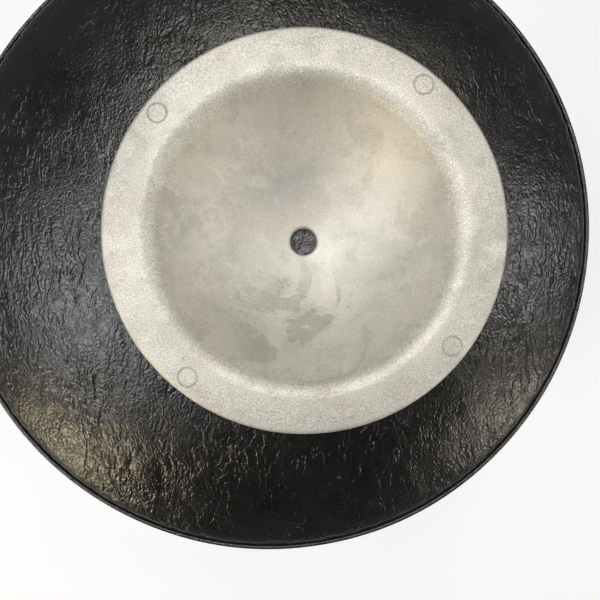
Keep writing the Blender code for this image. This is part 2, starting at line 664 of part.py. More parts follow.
def leg_and_brace(base, number):
    """One leg with its brace, opened at the sliding collar's pin. Returns the empty at its top."""
    sine, cosine = math.sin(SPREAD), math.cos(SPREAD)
    plane = pivot(f"leg_plane_{number}", base, turn_z=math.radians(LEG_AZIMUTHS[number - 1]))
    brace = pivot(f"brace_hinge_{number}", plane, (PIVOT_R, 0, BRACE_Z))
    rivet(f"brace_pin_{number}", BRACE_Y, plane, (PIVOT_R, 0, BRACE_Z))
    tilt = math.pi / 2 - SPREAD
    strips(f"brace_{number}", BRACE, BRACE_STRIP_R, BRACE_Y, -tilt, (0, BRACE), brace, (0, 0, 0))
    leg = pivot(f"leg_hinge_{number}", brace, (BRACE * sine, 0, BRACE * cosine))
    top = (-BRACE * sine, 0, BRACE * cosine)
    strips(f"leg_{number}", LEG, LEG_STRIP_R, LEG_Y, tilt, (0, BRACE, LEG), leg, top)
    rivet(f"middle_pin_{number}", LEG_Y, leg)
    below = LEG - BRACE
    ankle = (below * sine, 0, -below * cosine)
    foot(f"foot_{number}", leg, ankle)
    rivet(f"foot_pin_{number}", LEG_Y, leg, ankle)
    return pivot(f"leg_top_{number}", leg, top)


def main():
    clear_scene()
    base = pivot("stand_axis", location=(0, AXIS_Y, 0))
    tube_parts(base)
    clamp_fixings(base)
    lower_collar(base)
    tops = [leg_and_brace(base, number) for number in (1, 2, 3)]
    leg_collar(tops[0])
    post = pivot("post_slide", base)
    post_parts(post)
    memory_lock(post)
    seat = pivot("seat_swivel", post)
    for piece in (top_panel, side_band, top_welt, foam_pad, seat_board, dust_cover, seat_bracket):
        piece(seat)
    bracket_bolts(seat)
    bolt_place = (-(POST_R + GAP), 0, SEAT_BOTTOM_Z - SEAT_BOLT_DROP)
    length = BRACKET_BOSS[1] - POST_R
    wing_bolt("seat_wing_bolt", length, "zinc_steel", seat, bolt_place, (0, 0, math.pi))
    cast_dish(seat)


main()
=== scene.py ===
import json
import math

import bmesh
import bpy
import numpy as np
from bpy.props import FloatProperty, FloatVectorProperty, IntProperty, PointerProperty
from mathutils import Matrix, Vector


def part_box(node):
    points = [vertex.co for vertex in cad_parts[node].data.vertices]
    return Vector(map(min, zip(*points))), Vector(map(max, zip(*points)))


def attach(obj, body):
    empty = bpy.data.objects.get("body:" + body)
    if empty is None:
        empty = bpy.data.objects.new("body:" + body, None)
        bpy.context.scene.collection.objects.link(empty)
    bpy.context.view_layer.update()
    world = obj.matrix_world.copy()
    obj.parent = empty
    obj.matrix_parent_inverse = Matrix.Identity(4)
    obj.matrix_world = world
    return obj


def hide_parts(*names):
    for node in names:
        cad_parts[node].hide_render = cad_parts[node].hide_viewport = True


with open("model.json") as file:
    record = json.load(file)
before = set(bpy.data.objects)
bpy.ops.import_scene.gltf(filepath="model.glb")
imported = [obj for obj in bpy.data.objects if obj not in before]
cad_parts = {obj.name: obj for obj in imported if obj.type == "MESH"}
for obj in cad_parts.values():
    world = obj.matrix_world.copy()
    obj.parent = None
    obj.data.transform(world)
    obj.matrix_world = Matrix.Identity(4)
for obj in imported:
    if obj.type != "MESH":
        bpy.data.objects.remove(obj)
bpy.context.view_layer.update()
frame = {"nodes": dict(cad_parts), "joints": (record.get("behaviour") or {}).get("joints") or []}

bl_info = {
    "name": "Drum Throne",
    "version": (1, 0, 0),
    "blender": (4, 5, 0),
    "location": "View3D > Sidebar > Throne",
    "description": "Finishes a round drum throne with a loose cast dish on its seat",
    "category": "Add Mesh",
}

MM = 0.001
GAP = 0.3 * MM             # left between pieces that fit one another
JOINTS = {joint["name"]: joint for joint in frame["joints"]}
LEGS = (1, 2, 3)
BOLTS = (1, 2, 3, 4)


# Places and sizes that the frame gives

def middle(node):
    """The centre of a CAD node's box."""
    low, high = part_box(node)
    return np.array((low + high) / 2)


def height(node):
    """Lowest and highest point of a CAD node."""
    low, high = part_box(node)
    return low.z, high.z


def outside(node):
    """Greatest X of a CAD node, which is its radius when it is turned about the stand."""
    return float(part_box(node)[1].x)


AXIS = middle("post")[:2]
WELT_Z = float(middle("top_welt")[2])
WELT_OUT = outside("top_welt")
WELT_THICK = height("top_welt")[1] - height("top_welt")[0]
PAD_EDGE = outside("top_panel")
BAND_EDGE = outside("side_band")
BOARD_TOP = height("seat_board")[1]
DISH = middle("cast_dish")
DISH_RIM = outside("cast_dish") - float(DISH[0])
DISH_RIM_Z = height("cast_dish")[1]
POST_R = outside("post")
TUBE_R = outside("lower_tube")

# The dish's section, as in the CAD part
DISH_DEPTH = 38.5 * MM
DISH_WALL = 3.5 * MM
DISH_BOWL = 76.6 * MM      # radius of the bowl's sphere
DISH_FILLET = 10 * MM
DISH_DROP = 0.6 * MM       # of the flange's edge below its crest
DISH_HOLE = 6.7 * MM
BOWL_CENTRE = DISH_BOWL - DISH_DEPTH
DISH_ORIGIN = (float(DISH[0]), float(DISH[1]), DISH_RIM_Z)

# The dish's marks, from its axis and rim
MARK_ANGLES = (50.6, 141.5, 231.5, 321.9)
MARK_PITCH = 0.917 * DISH_RIM
PIP_PLACE = (-2.2 * MM, 21.5 * MM)
FLOW_PLACE = (0.0, -45 * MM, -24 * MM)

# The pad's shape
BULGE = 3.2 * MM           # of the pad's edge over the welt
BULGE_RISE = 4 * MM        # above the welt, where it is widest
PAD_TUCK = 2 * MM          # how far the pad's lower side is drawn in
PAD_SOFT = 1.6 * MM        # over which the dish's dent eases out
DENT_REACH = 60 * MM
PAD_VOXEL = 4.5 * MM
PAD_HELD = 5 * MM          # width of the edge that the filling leaves in place
PAD_PRESSURE = 4.0
FILL_STEPS = 20
SWELL_SHARE = 0.6          # of the swell, by which the pad starts lower than its crown
PUCKER = 9 * MM            # width of a pucker along the seam, and its reach
STAPLES = 40

# The stand's strips, pins, ears and walls
PIPE_WALL = 1.5 * MM
STRIP = 2 * MM
BRACE_Y = 3.8 * MM
LEG_Y = 6.1 * MM
LEG_HALF = 10 * MM
BRACE_HALF = 8 * MM
LOWER_EAR = 5 * MM
UPPER_EAR = 9.6 * MM
PIVOT_R = 32 * MM
EAR_HALF = 8 * MM
COLLAR_R = 21 * MM
RING_SLOT = 3 * MM
LIP_GAP = 0.09                   # half the angle left open in the clamp's lip
BOSS = (4.3 * MM, 7.5 * MM)      # a wing bolt's boss, inside and outside
X_AXIS, Y_AXIS, Z_AXIS = (1, 0, 0), (0, 1, 0), (0, 0, 1)

FLOOR_GLOW = 0.35          # lifts the pale floor, as a lit sweep does
FLOOR_REACH = 30.0


def linear(code):
    """A #rrggbb sRGB colour as linear red, green and blue."""
    channels = [int(code[i:i + 2], 16) / 255 for i in (1, 3, 5)]
    return tuple(c / 12.92 if c <= 0.04045 else ((c + 0.055) / 1.055) ** 2.4 for c in channels)


# Settings that a user would change

def length(name, description, default):
    return FloatProperty(name=name, description=description, default=default, unit="LENGTH", precision=5)


def colour(name, description, code):
    return FloatVectorProperty(
        name=name, description=description, default=linear(code), subtype="COLOR", size=3, min=0, max=1,
    )


class ThroneSizes(bpy.types.PropertyGroup):
    crown: length("Crown", "Top of the pad above the welt", 22.6 * MM)
    roll: FloatProperty(name="Roll", description="How flat the pad is before it rolls over", default=3.4)
    swell: length("Swell", "Most that the pad may swell as it is filled", 4 * MM)
    wrinkle: length("Wrinkle", "Depth of the broken-in wrinkles", 0.28 * MM)
    grain: length("Grain", "Width of one pebble of the cover's grain", 2.3 * MM)
    stitch: length("Stitch", "Length of one stitch along the welt", 4.2 * MM)
    cast_grain: length("Cast grain", "Size of the tumbled dimples on the dish", 0.9 * MM)
    mark: length("Ejector mark", "Radius of the round marks on the dish's flange", 4.1 * MM)
    sides: IntProperty(name="Sides", description="Sides of a round metal piece", default=64, min=12)


class ThroneColours(bpy.types.PropertyGroup):
    cover: colour("Cover", "Embossed PVC cloth of the seat", "#10100f")
    thread: colour("Thread", "Polyester thread along the welt", "#2a2926")
    casting: colour("Casting", "Tumbled die-cast aluminium", "#e1ded6")
    chrome: colour("Chrome", "Chrome plate on the tubes and legs", "#d6d6d8")
    zinc: colour("Zinc plate", "Zinc plate on bolts and rivets", "#c3c3bd")
    nickel: colour("Nickel", "Satin nickel on the die-cast collars", "#b4b2ae")
    paint: colour("Powder coat", "Black powder coat on the bracket", "#1a1a1b")
    nylon: colour("Nylon", "Moulded black nylon", "#1b1b1c")
    rubber: colour("Rubber", "Moulded black rubber", "#131312")
    underside: colour("Dust cover", "Spunbond cloth under the seat", "#202022")
    plywood: colour("Plywood", "Birch plywood", "#d3b48a")
    floor: colour("Floor", "Pale studio floor", "#f1f3f8")


# Surfaces worked out with numpy. A shell is its points and its four-sided faces.

def shell(grid, wrap_u=True, wrap_v=False):
    """Quads over a (u, v) grid of points, joined end to end where it wraps."""
    count_u, count_v = grid.shape[:2]
    ids = np.arange(count_u * count_v).reshape(count_u, count_v)
    if wrap_u:
        ids = np.vstack([ids, ids[:1]])
    if wrap_v:
        ids = np.hstack([ids, ids[:, :1]])
    quads = np.stack([ids[:-1, :-1], ids[1:, :-1], ids[1:, 1:], ids[:-1, 1:]], -1)
    return grid.reshape(-1, 3), quads.reshape(-1, 4)


def eased(points, radius, steps=4, closed=True):
    """Rounds each corner: a parabola that leaves one side `radius` before the corner and joins the next."""
    points = np.asarray(points, float)
    back = np.roll(points, 1, 0) - points
    ahead = np.roll(points, -1, 0) - points
    long_back = np.linalg.norm(back, axis=1, keepdims=True)
    long_ahead = np.linalg.norm(ahead, axis=1, keepdims=True)
    start = points + back / long_back * np.minimum(radius, 0.45 * long_back)
    end = points + ahead / long_ahead * np.minimum(radius, 0.45 * long_ahead)
    t = np.linspace(0, 1, steps + 1)[None, :, None]
    arcs = (1 - t) ** 2 * start[:, None] + 2 * t * (1 - t) * points[:, None] + t ** 2 * end[:, None]
    if closed:
        return arcs.reshape(-1, points.shape[1])
    return np.vstack([points[:1], arcs[1:-1].reshape(-1, points.shape[1]), points[-1:]])


def circle(count):
    """Angles all the way round, as a column."""
    return np.linspace(0, 2 * math.pi, count, endpoint=False)[:, None]


def around(r, angle, z, centre=(0, 0)):
    """Points at distance r from an upright axis: x = r cos a, y = r sin a."""
    return np.stack([centre[0] + r * np.cos(angle), centre[1] + r * np.sin(angle), z + 0 * angle], -1)


def turned(profile, sides, closed=False):
    """(r, z) turned about Z."""
    profile = np.asarray(profile, float)
    return shell(around(profile[None, :, 0], circle(sides), profile[None, :, 1]), True, closed)


def part_turned(profile, first, last, sides):
    """A closed (r, z) section carried round Z from one angle to another, with its two ends filled."""
    profile = np.asarray(profile, float)
    grid = around(profile[None, :, 0], np.linspace(first, last, sides)[:, None], profile[None, :, 1])
    ends = [np.repeat(grid[i].mean(0)[None, None], grid.shape[1], 1) for i in (0, -1)]
    return shell(np.concatenate([ends[0], grid, ends[1]]), False, True)


def plate(outline, thickness, edge, steps=4):
    """A flat plate about z = 0. Across it, the outline is drawn in by edge * (1 - sin a) as it falls by
    edge * (1 - cos a), and on each face it closes to the outline's middle."""
    outline = np.asarray(outline, float)
    along = np.roll(outline, -1, 0) - np.roll(outline, 1, 0)
    normal = np.stack([along[:, 1], -along[:, 0]], 1)
    normal /= np.linalg.norm(normal, axis=1, keepdims=True)
    angle = np.linspace(0, math.pi / 2, steps + 1)
    inset = np.concatenate([[2 * edge], edge * (1 - np.sin(angle))])
    level = np.concatenate([[thickness / 2], thickness / 2 - edge * (1 - np.cos(angle))])
    inset = np.concatenate([inset, inset[::-1]])[None, :, None]
    level = np.concatenate([level, -level[::-1]])
    flat = outline[:, None] - normal[:, None] * inset
    level = np.broadcast_to(level[None, :, None], flat.shape[:2] + (1,))
    grid = np.concatenate([flat, level], -1)
    centre = outline.mean(0)
    top = np.broadcast_to([*centre, thickness / 2], (len(outline), 1, 3))
    bottom = np.broadcast_to([*centre, -thickness / 2], (len(outline), 1, 3))
    return shell(np.concatenate([top, grid, bottom], 1))


def capsule(p, p_radius, q, q_radius, steps=14):
    """The outline round two circles, its straight sides tangent to both."""
    p, q = np.array(p, float), np.array(q, float)
    run = q - p
    aim = math.atan2(run[1], run[0])
    half = math.acos((p_radius - q_radius) / np.linalg.norm(run))
    first = np.linspace(aim - half, aim + half, steps)
    second = np.linspace(aim + half, aim - half + 2 * math.pi, steps)
    far = q + q_radius * np.stack([np.cos(first), np.sin(first)], 1)
    near = p + p_radius * np.stack([np.cos(second), np.sin(second)], 1)
    return np.vstack([far, near])


def rounded_box(x0, x1, y0, y1, radius):
    """A rectangle's outline with round corners, anticlockwise."""
    return eased([(x0, y0), (x1, y0), (x1, y1), (x0, y1)], radius, 5)


def polygon(count, radius, ease):
    angle = np.arange(count) * 2 * math.pi / count
    return eased(np.stack([radius * np.cos(angle), radius * np.sin(angle)], 1), ease, 2)


def moved(part, origin=(0, 0, 0), x_axis=X_AXIS, z_axis=Z_AXIS):
    """A shell carried to another frame: its own X and Z are laid along the two axes."""
    x_axis, z_axis = np.array(x_axis, float), np.array(z_axis, float)
    x_axis /= np.linalg.norm(x_axis)
    z_axis /= np.linalg.norm(z_axis)
    turn = np.stack([x_axis, np.cross(z_axis, x_axis), z_axis])
    return part[0] @ turn + np.array(origin, float), part[1]


def upright(part):
    """A shell set on the stand's axis."""
    return moved(part, (*AXIS, 0))


def repeated(part, origins, x_axes, z_axes):
    """Copies of a shell, one in each of many frames given as whole arrays."""
    turn = np.stack([x_axes, np.cross(z_axes, x_axes), z_axes], 1)
    points = np.einsum("pk,nkj->npj", part[0], turn) + origins[:, None]
    faces = part[1][None] + (np.arange(len(origins)) * len(part[0]))[:, None, None]
    return points.reshape(-1, 3), faces.reshape(-1, 4)


def made(name, *shells, sharp=40):
    """One mesh object of several shells. Equal points are merged, which closes seams and poles."""
    start = np.cumsum([0] + [len(points) for points, _ in shells])
    points = np.vstack([points for points, _ in shells])
    faces = np.vstack([quads + first for (_, quads), first in zip(shells, start)])
    mesh = bpy.data.meshes.new(name)
    mesh.from_pydata(points.tolist(), [], faces.tolist())
    bm = bmesh.new()
    bm.from_mesh(mesh)
    bmesh.ops.remove_doubles(bm, verts=bm.verts, dist=1e-7)
    bmesh.ops.recalc_face_normals(bm, faces=bm.faces)
    bm.to_mesh(mesh)
    bm.free()
    mesh.shade_smooth()
    mesh.set_sharp_from_angle(angle=math.radians(sharp))
    obj = bpy.data.objects.new(name, mesh)
    bpy.context.scene.collection.objects.link(obj)
    return obj


def finished(obj, name):
    """Gives a piece, or a CAD node that stays as it is, one of the materials."""
    obj.data.materials.clear()
    obj.data.materials.append(finishes()[name])


def fitted(obj, body, finish, *nodes):
    """Gives a piece its material, and sets it on its body in place of CAD nodes."""
    finished(obj, finish)
    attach(obj, body)
    if nodes:
        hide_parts(*nodes)
    return obj


def piece(name, shells, body, finish, *nodes, sharp=40):
    """Makes, finishes and places a piece."""
    return fitted(made(name, *shells, sharp=sharp), body, finish, *nodes)


def noise(points, size, seed):
    """Smooth value noise from -1 to 1: random values on a lattice `size` apart, eased between its corners."""
    count = 32
    lattice = np.random.default_rng(seed).uniform(-1, 1, (count,) * 3)
    scaled = points / size
    cell = np.floor(scaled).astype(int)
    t = scaled - cell
    t = t * t * (3 - 2 * t)
    total = np.zeros(len(points))
    for corner in np.ndindex(2, 2, 2):
        weight = np.prod(np.where(corner, t, 1 - t), axis=1)
        i, j, k = ((cell + corner) % count).T
        total += weight * lattice[i, j, k]
    return total


# Materials

def add(tree, kind, inputs=None, **settings):
    """Adds a node: settings are its properties, and inputs its sockets, each a value or a socket to link."""
    node = tree.nodes.new(kind)
    for name, value in settings.items():
        setattr(node, name, value)
    for key, value in (inputs or {}).items():
        if isinstance(value, bpy.types.NodeSocket):
            tree.links.new(value, node.inputs[key])
        else:
            node.inputs[key].default_value = value
    return node


def new_material(name, metallic=0.0, roughness=0.5, **sockets):
    """A material, its node tree, its Principled shader and its Object coordinates."""
    mat = bpy.data.materials.new(name)
    mat.use_nodes = True
    tree = mat.node_tree
    shader = tree.nodes["Principled BSDF"]
    shader.inputs["Metallic"].default_value = metallic
    shader.inputs["Roughness"].default_value = roughness
    for key, value in sockets.items():
        shader.inputs[key.replace("_", " ")].default_value = value
    where = add(tree, "ShaderNodeTexCoord").outputs["Object"]
    return mat, tree, shader, where


def between(tree, value, low, high, to_low=0.0, to_high=1.0, smooth=False):
    """Maps a value's range to another, clamped."""
    kind = "SMOOTHSTEP" if smooth else "LINEAR"
    inputs = {0: value, 1: low, 2: high, 3: to_low, 4: to_high}
    return add(tree, "ShaderNodeMapRange", inputs, interpolation_type=kind).outputs[0]


def mixed(tree, factor, a, b, blend="MIX"):
    """Two colours mixed."""
    node = add(tree, "ShaderNodeMix", {0: factor, 6: a, 7: b}, data_type="RGBA", blend_type=blend)
    return node.outputs[2]


def reckon(tree, operation, a, b=0.0, c=0.0):
    return add(tree, "ShaderNodeMath", {0: a, 1: b, 2: c}, operation=operation).outputs[0]


def vector(tree, operation, a, b=(0.0,) * 3, output="Vector"):
    return add(tree, "ShaderNodeVectorMath", {0: a, 1: b}, operation=operation).outputs[output]


def texture(tree, where, size, detail=2.0, rough=0.5, distortion=0.0, output="Fac"):
    """Noise whose largest features are `size` metres across."""
    inputs = {"Vector": where, "Scale": 1 / size, "Detail": detail, "Roughness": rough, "Distortion": distortion}
    return add(tree, "ShaderNodeTexNoise", inputs).outputs[output]


def cells(tree, where, size, feature="DISTANCE_TO_EDGE", output="Distance"):
    """Voronoi cells `size` metres apart."""
    node = add(tree, "ShaderNodeTexVoronoi", {"Vector": where, "Scale": 1 / size}, feature=feature)
    return node.outputs[output]


def stretched(tree, where, scale, turn=(0, 0, 0)):
    """Coordinates scaled along their own axes, for a pattern that runs one way."""
    node = add(tree, "ShaderNodeMapping", {"Vector": where, "Scale": scale, "Rotation": turn})
    return node.outputs["Vector"]


def bump(tree, relief, distance, normal=None):
    inputs = {"Height": relief, "Distance": distance}
    if normal is not None:
        inputs["Normal"] = normal
    return add(tree, "ShaderNodeBump", inputs).outputs["Normal"]


def darkened(tree, tone, factor, rgb):
    """A colour multiplied by another, where the factor is 1."""
    return mixed(tree, factor, tone, mixed(tree, 1.0, tone, rgb, "MULTIPLY"))


def finish_with(tree, shader, tone, roughness=None, normal=None):
    """Links what a material has worked out to its shader."""
    for socket, value in (("Base Color", tone), ("Roughness", roughness), ("Normal", normal)):
        if value is not None:
            tree.links.new(value, shader.inputs[socket])


def rgba(rgb, factor=1.0):
    return (*[min(1.0, c * factor) for c in rgb], 1.0)


def pvc_material(name, rgb, grain, creases=1.0):
    """Embossed PVC cover cloth, broken in: the eye gets small pebbles that glint, and soft creases
    where the cloth has been sat on, paler and duller where they are rubbed. The pebbles are drawn
    coarser than real ones, so that they show."""
    mat, tree, shader, where = new_material(name, Specular_IOR_Level=0.9)
    offset = vector(tree, "SUBTRACT", texture(tree, where, 5 * grain, output="Color"), (0.5,) * 3)
    bent = vector(tree, "ADD", where, vector(tree, "MULTIPLY", offset, (3.2 * grain,) * 3))
    pebbles = between(tree, cells(tree, bent, grain), 0.0, 0.30)
    lie = stretched(tree, bent, (1.0, 0.75, 1.0), (0, 0, 1.2))
    leather = texture(tree, lie, 0.42 * grain, 1.0, 0.6)
    lines = None
    for size, turn in ((12 * MM, 0.3), (19 * MM, 1.5), (30 * MM, 2.5)):
        lie = stretched(tree, bent, (1.0, 0.36, 1.0), (0, 0, turn))
        ridge = reckon(tree, "ABSOLUTE", reckon(tree, "SUBTRACT", texture(tree, lie, size, 3.0, 0.6), 0.5))
        crease = between(tree, ridge, 0.0, 0.040, smooth=True)
        lines = crease if lines is None else reckon(tree, "MULTIPLY", lines, crease)
    worn = between(tree, texture(tree, where, 55 * MM, 3.0), 0.38, 0.62, 0.15, 1.0, smooth=True)
    depth = reckon(tree, "MULTIPLY", worn, creases)
    normal = bump(tree, leather, 0.15 * MM)
    normal = bump(tree, pebbles, 0.08 * MM, normal)
    sunken = reckon(tree, "MULTIPLY", reckon(tree, "SUBTRACT", lines, 1.0), depth)
    normal = bump(tree, sunken, 0.25 * MM, normal)
    rubbed = between(tree, texture(tree, where, 9 * MM, 4.0, 0.65), 0.42, 0.75)
    tone = mixed(tree, rubbed, rgba(rgb, 0.5), rgba(rgb, 1.4))
    haze = between(tree, texture(tree, where, 35 * MM, 3.0), 0.3, 0.7, 0.25, 0.34)
    finish_with(tree, shader, tone, haze, normal)
    return mat


def casting_material(name, rgb, grain, mark):
    """Die-cast aluminium, tumbled and unpainted: a pale grey skin of fine dimples under its thin oxide, with
    flow marks and dull stains where the metal ran cold, black specks and scratches. The dimples' sparkle is
    painted into the colour as fine light and dark speckle, and each ejector mark's ring is drawn round with a
    thin line of painted shade."""
    mat, tree, shader, where = new_material(name, metallic=0.70)
    local = vector(tree, "SUBTRACT", where, DISH_ORIGIN)
    mottle = texture(tree, local, 17 * MM, 6.0, 0.66, 0.5)
    broad = texture(tree, local, 52 * MM, 6.0, 0.58, 0.7)
    cool = tuple(a * b for a, b in zip(rgb, (0.84, 0.86, 0.85)))
    tone = mixed(tree, between(tree, broad, 0.47, 0.60, 0.0, 0.8), rgba(rgb), rgba(cool))
    tone = darkened(tree, tone, between(tree, mottle, 0.51, 0.60, 0.0, 0.65), (0.86, 0.86, 0.85, 1.0))
    clean = between(tree, texture(tree, local, 13 * MM, 7.0, 0.7, 0.8), 0.54, 0.63, 0.0, 0.65)
    tone = mixed(tree, clean, tone, rgba(rgb, 1.10))
    rosy = tuple(a * b for a, b in zip(rgb, (0.96, 0.89, 0.86)))
    blush = between(tree, texture(tree, local, 34 * MM, 4.0, 0.6), 0.54, 0.66, 0.0, 0.8, smooth=True)
    tone = mixed(tree, blush, tone, rgba(rosy))
    run = vector(tree, "DISTANCE", local, FLOW_PLACE, "Value")
    near = between(tree, run, 18 * MM, 46 * MM, 1.0, 0.0, smooth=True)
    coast = between(tree, texture(tree, local, 30 * MM, 7.0, 0.62, 0.9), 0.492, 0.508)
    folds = reckon(tree, "MULTIPLY", coast, near)
    tone = darkened(tree, tone, folds, (0.80, 0.81, 0.80, 1.0))
    specks = between(tree, cells(tree, local, 5.5 * MM, "F1"), 0.030, 0.055)
    chosen = between(tree, texture(tree, local, 21 * MM), 0.50, 0.56)
    speck = reckon(tree, "MAXIMUM", specks, reckon(tree, "SUBTRACT", 1.0, chosen))
    tone = mixed(tree, speck, rgba(rgb, 0.12), tone)
    # Painted sparkle: fine light and dark speckle in the colour stands in for the glints of the tumbled dimples.
    # It is full on the flange and falls to less than half deep in the bowl.
    painted_glints = between(tree, texture(tree, local, 0.55 * MM, 1.0, 0.8), 0.36, 0.64, 0.74, 1.18)
    grey = add(tree, "ShaderNodeCombineColor", {0: painted_glints, 1: painted_glints, 2: painted_glints}).outputs[0]
    level = add(tree, "ShaderNodeSeparateXYZ", {0: local}).outputs["Z"]
    tone = darkened(tree, tone, between(tree, level, -9 * MM, -1 * MM, 0.45, 1.0, smooth=True), grey)
    # Painted shade: a thin dark circle in the colour along each ejector mark's ring, where the ring's edge would
    # be shaded.
    for place in mark_places():
        away = vector(tree, "DISTANCE", local, (*place, 0.0), "Value")
        off = reckon(tree, "ABSOLUTE", reckon(tree, "SUBTRACT", away, mark))
        tone = mixed(tree, between(tree, off, 0.25 * MM, 0.75 * MM, 0.5, 0.0), tone, rgba(rgb, 0.5))
    lie = stretched(tree, local, (1.0, 0.03, 0.3), (0, 0, 0.7))
    scratch = between(tree, texture(tree, lie, 1.3 * MM, 0.0), 0.76, 0.80)
    normal = bump(tree, texture(tree, local, grain, 2.0, 0.7), 0.18 * MM)
    normal = bump(tree, texture(tree, local, 3.2 * MM, 3.0, 0.6), 0.10 * MM, normal)
    normal = bump(tree, folds, 0.20 * MM, normal)
    normal = bump(tree, reckon(tree, "MULTIPLY", scratch, -1.0), 0.02 * MM, normal)
    finish_with(tree, shader, tone, between(tree, mottle, 0.3, 0.7, 0.50, 0.62), normal)
    return mat


def metal_material(name, rgb, roughness, spread, relief_size, relief, tint=None):
    """A finished metal: its tone drifts a little, it is duller where it was handled, and it carries the
    fine relief of its plating, casting or coat."""
    mat, tree, shader, where = new_material(name, metallic=1.0)
    drift = texture(tree, where, 23 * MM, 4.0, 0.6)
    tone = mixed(tree, between(tree, drift, 0.35, 0.65), rgba(rgb), rgba(tint or tuple(0.86 * c for c in rgb)))
    handled = texture(tree, where, 7 * MM, 5.0, 0.65)
    rough = between(tree, handled, 0.35, 0.7, roughness - spread, roughness + spread)
    finish_with(tree, shader, tone, rough, bump(tree, texture(tree, where, relief_size, 3.0), relief))
    return mat


def moulded_material(name, rgb, roughness, relief_size, relief, **sockets):
    """A dull moulded or coated surface: fine spark-eroded or sprayed texture, and paler scuffs."""
    mat, tree, shader, where = new_material(name, roughness=roughness, **sockets)
    scuff = between(tree, texture(tree, where, 12 * MM, 5.0, 0.7), 0.56, 0.74)
    tone = mixed(tree, scuff, rgba(rgb), rgba(tuple(c * 1.6 + 0.004 for c in rgb)))
    rough = between(tree, texture(tree, where, 5 * MM, 3.0), 0.3, 0.7, roughness - 0.06, roughness + 0.08)
    finish_with(tree, shader, tone, rough, bump(tree, texture(tree, where, relief_size), relief))
    return mat


def cloth_material(name, rgb):
    """Spunbond polyester: pressed flat filaments in every direction, bonded by a grid of small dots."""
    mat, tree, shader, where = new_material(name, roughness=0.9)
    fibres = None
    for turn in (0.2, 1.1, 2.3):
        lie = stretched(tree, where, (1.0, 0.06, 1.0), (0, 0, turn))
        strand = texture(tree, lie, 0.5 * MM, 1.0)
        fibres = strand if fibres is None else reckon(tree, "MAXIMUM", fibres, strand)
    dots = cells(tree, where, 1.6 * MM, "F1")
    pressed = between(tree, dots, 0.18, 0.30)
    web = reckon(tree, "MULTIPLY", fibres, pressed)
    tone = mixed(tree, between(tree, web, 0.3, 0.75), rgba(rgb, 0.6), rgba(rgb, 1.5))
    finish_with(tree, shader, tone, normal=bump(tree, web, 0.15 * MM))
    return mat


def plywood_material(name, rgb):
    """Birch plywood: long pores and growth bands along the face, and thin dark glue lines between plies."""
    mat, tree, shader, where = new_material(name, roughness=0.65)
    lie = stretched(tree, where, (0.08, 1.0, 1.0))
    bands = texture(tree, lie, 9 * MM, 4.0, 0.6, 0.5)
    pores = between(tree, texture(tree, lie, 0.8 * MM, 1.0), 0.62, 0.72)
    tone = mixed(tree, bands, rgba(rgb, 0.8), rgba(rgb, 1.05))
    tone = mixed(tree, reckon(tree, "MULTIPLY", pores, 0.4), tone, rgba(rgb, 0.45))
    finish_with(tree, shader, tone, normal=bump(tree, pores, -0.08 * MM))
    return mat


def floor_material(name, rgb):
    """Matt painted sweep: nearly even, with the faint orange peel of a roller. Away from the throne it glows
    as much as the backdrop, so that the two meet without a line."""
    mat, tree, shader, where = new_material(name, roughness=0.85)
    tone = mixed(tree, texture(tree, where, 0.6), rgba(rgb, 0.99), rgba(rgb))
    shader.inputs["Emission Color"].default_value = rgba(rgb)
    away = vector(tree, "LENGTH", where, output="Value")
    seen = add(tree, "ShaderNodeLightPath").outputs["Is Camera Ray"]
    glow = between(tree, away, 0.7, 3.5, FLOOR_GLOW, 1.0, smooth=True)
    tree.links.new(reckon(tree, "MULTIPLY", seen, glow), shader.inputs["Emission Strength"])
    finish_with(tree, shader, tone, normal=bump(tree, texture(tree, where, 2 * MM), 0.02 * MM))
    return mat


MATERIALS = {}


def mark_places():
    """Where the ejector marks lie, from the dish's axis."""
    angles = np.radians(MARK_ANGLES)
    return [(MARK_PITCH * math.cos(a), MARK_PITCH * math.sin(a)) for a in angles]


def finishes():
    """Every material, made once."""
    if MATERIALS:
        return MATERIALS
    scene = bpy.context.scene
    sizes, tones = scene.throne_sizes, scene.throne_colours
    MATERIALS.update({
        "cover": pvc_material("embossed_pvc_cloth", tones.cover, sizes.grain),
        "band": pvc_material("embossed_pvc_cloth_pulled_tight", tones.cover, sizes.grain, 0.35),
        "piping": pvc_material("embossed_pvc_piping", tones.cover, 0.7 * sizes.grain, 0.2),
        "thread": moulded_material("bonded_polyester_thread", tones.thread, 0.55, 0.3 * MM, 0.05 * MM),
        "casting": casting_material("tumbled_die_cast_aluminium", tones.casting, sizes.cast_grain, sizes.mark),
        "chrome": metal_material("chrome_plated_steel", tones.chrome, 0.11, 0.05, 30 * MM, 0.02 * MM),
        "zinc": metal_material("zinc_plated_steel", tones.zinc, 0.34, 0.08, 0.9 * MM, 0.015 * MM,
                               linear("#b9bcc4")),
        "nickel": metal_material("satin_nickel_die_cast_zinc", tones.nickel, 0.30, 0.07, 1.1 * MM, 0.02 * MM),
        "paint": moulded_material("black_powder_coat", tones.paint, 0.45, 0.7 * MM, 0.06 * MM),
        "nylon": moulded_material("moulded_nylon", tones.nylon, 0.5, 0.5 * MM, 0.04 * MM),
        "rubber": moulded_material("moulded_rubber", tones.rubber, 0.78, 0.6 * MM, 0.05 * MM),
        "underside": cloth_material("spunbond_polyester", tones.underside),
        "plywood": plywood_material("birch_plywood", tones.plywood),
    })
    return MATERIALS


# The seat

def pad_height(r, crown, roll):
    """Height above the welt: crown * (1 - (r / edge) ^ roll) ^ 0.5, flat in the middle, upright at the edge."""
    return crown * (1 - np.clip(r / PAD_EDGE, 0, 1) ** roll) ** 0.5


def dish_underside(points):
    """Height of the dish's round underside over each point, from its sphere, and the distance from its axis."""
    away = np.linalg.norm(points[:, :2] - DISH[:2], axis=1)
    outer = DISH_BOWL + DISH_WALL
    under = DISH_RIM_Z + BOWL_CENTRE - np.sqrt(outer ** 2 - np.minimum(away, 0.95 * outer) ** 2)
    return under, away


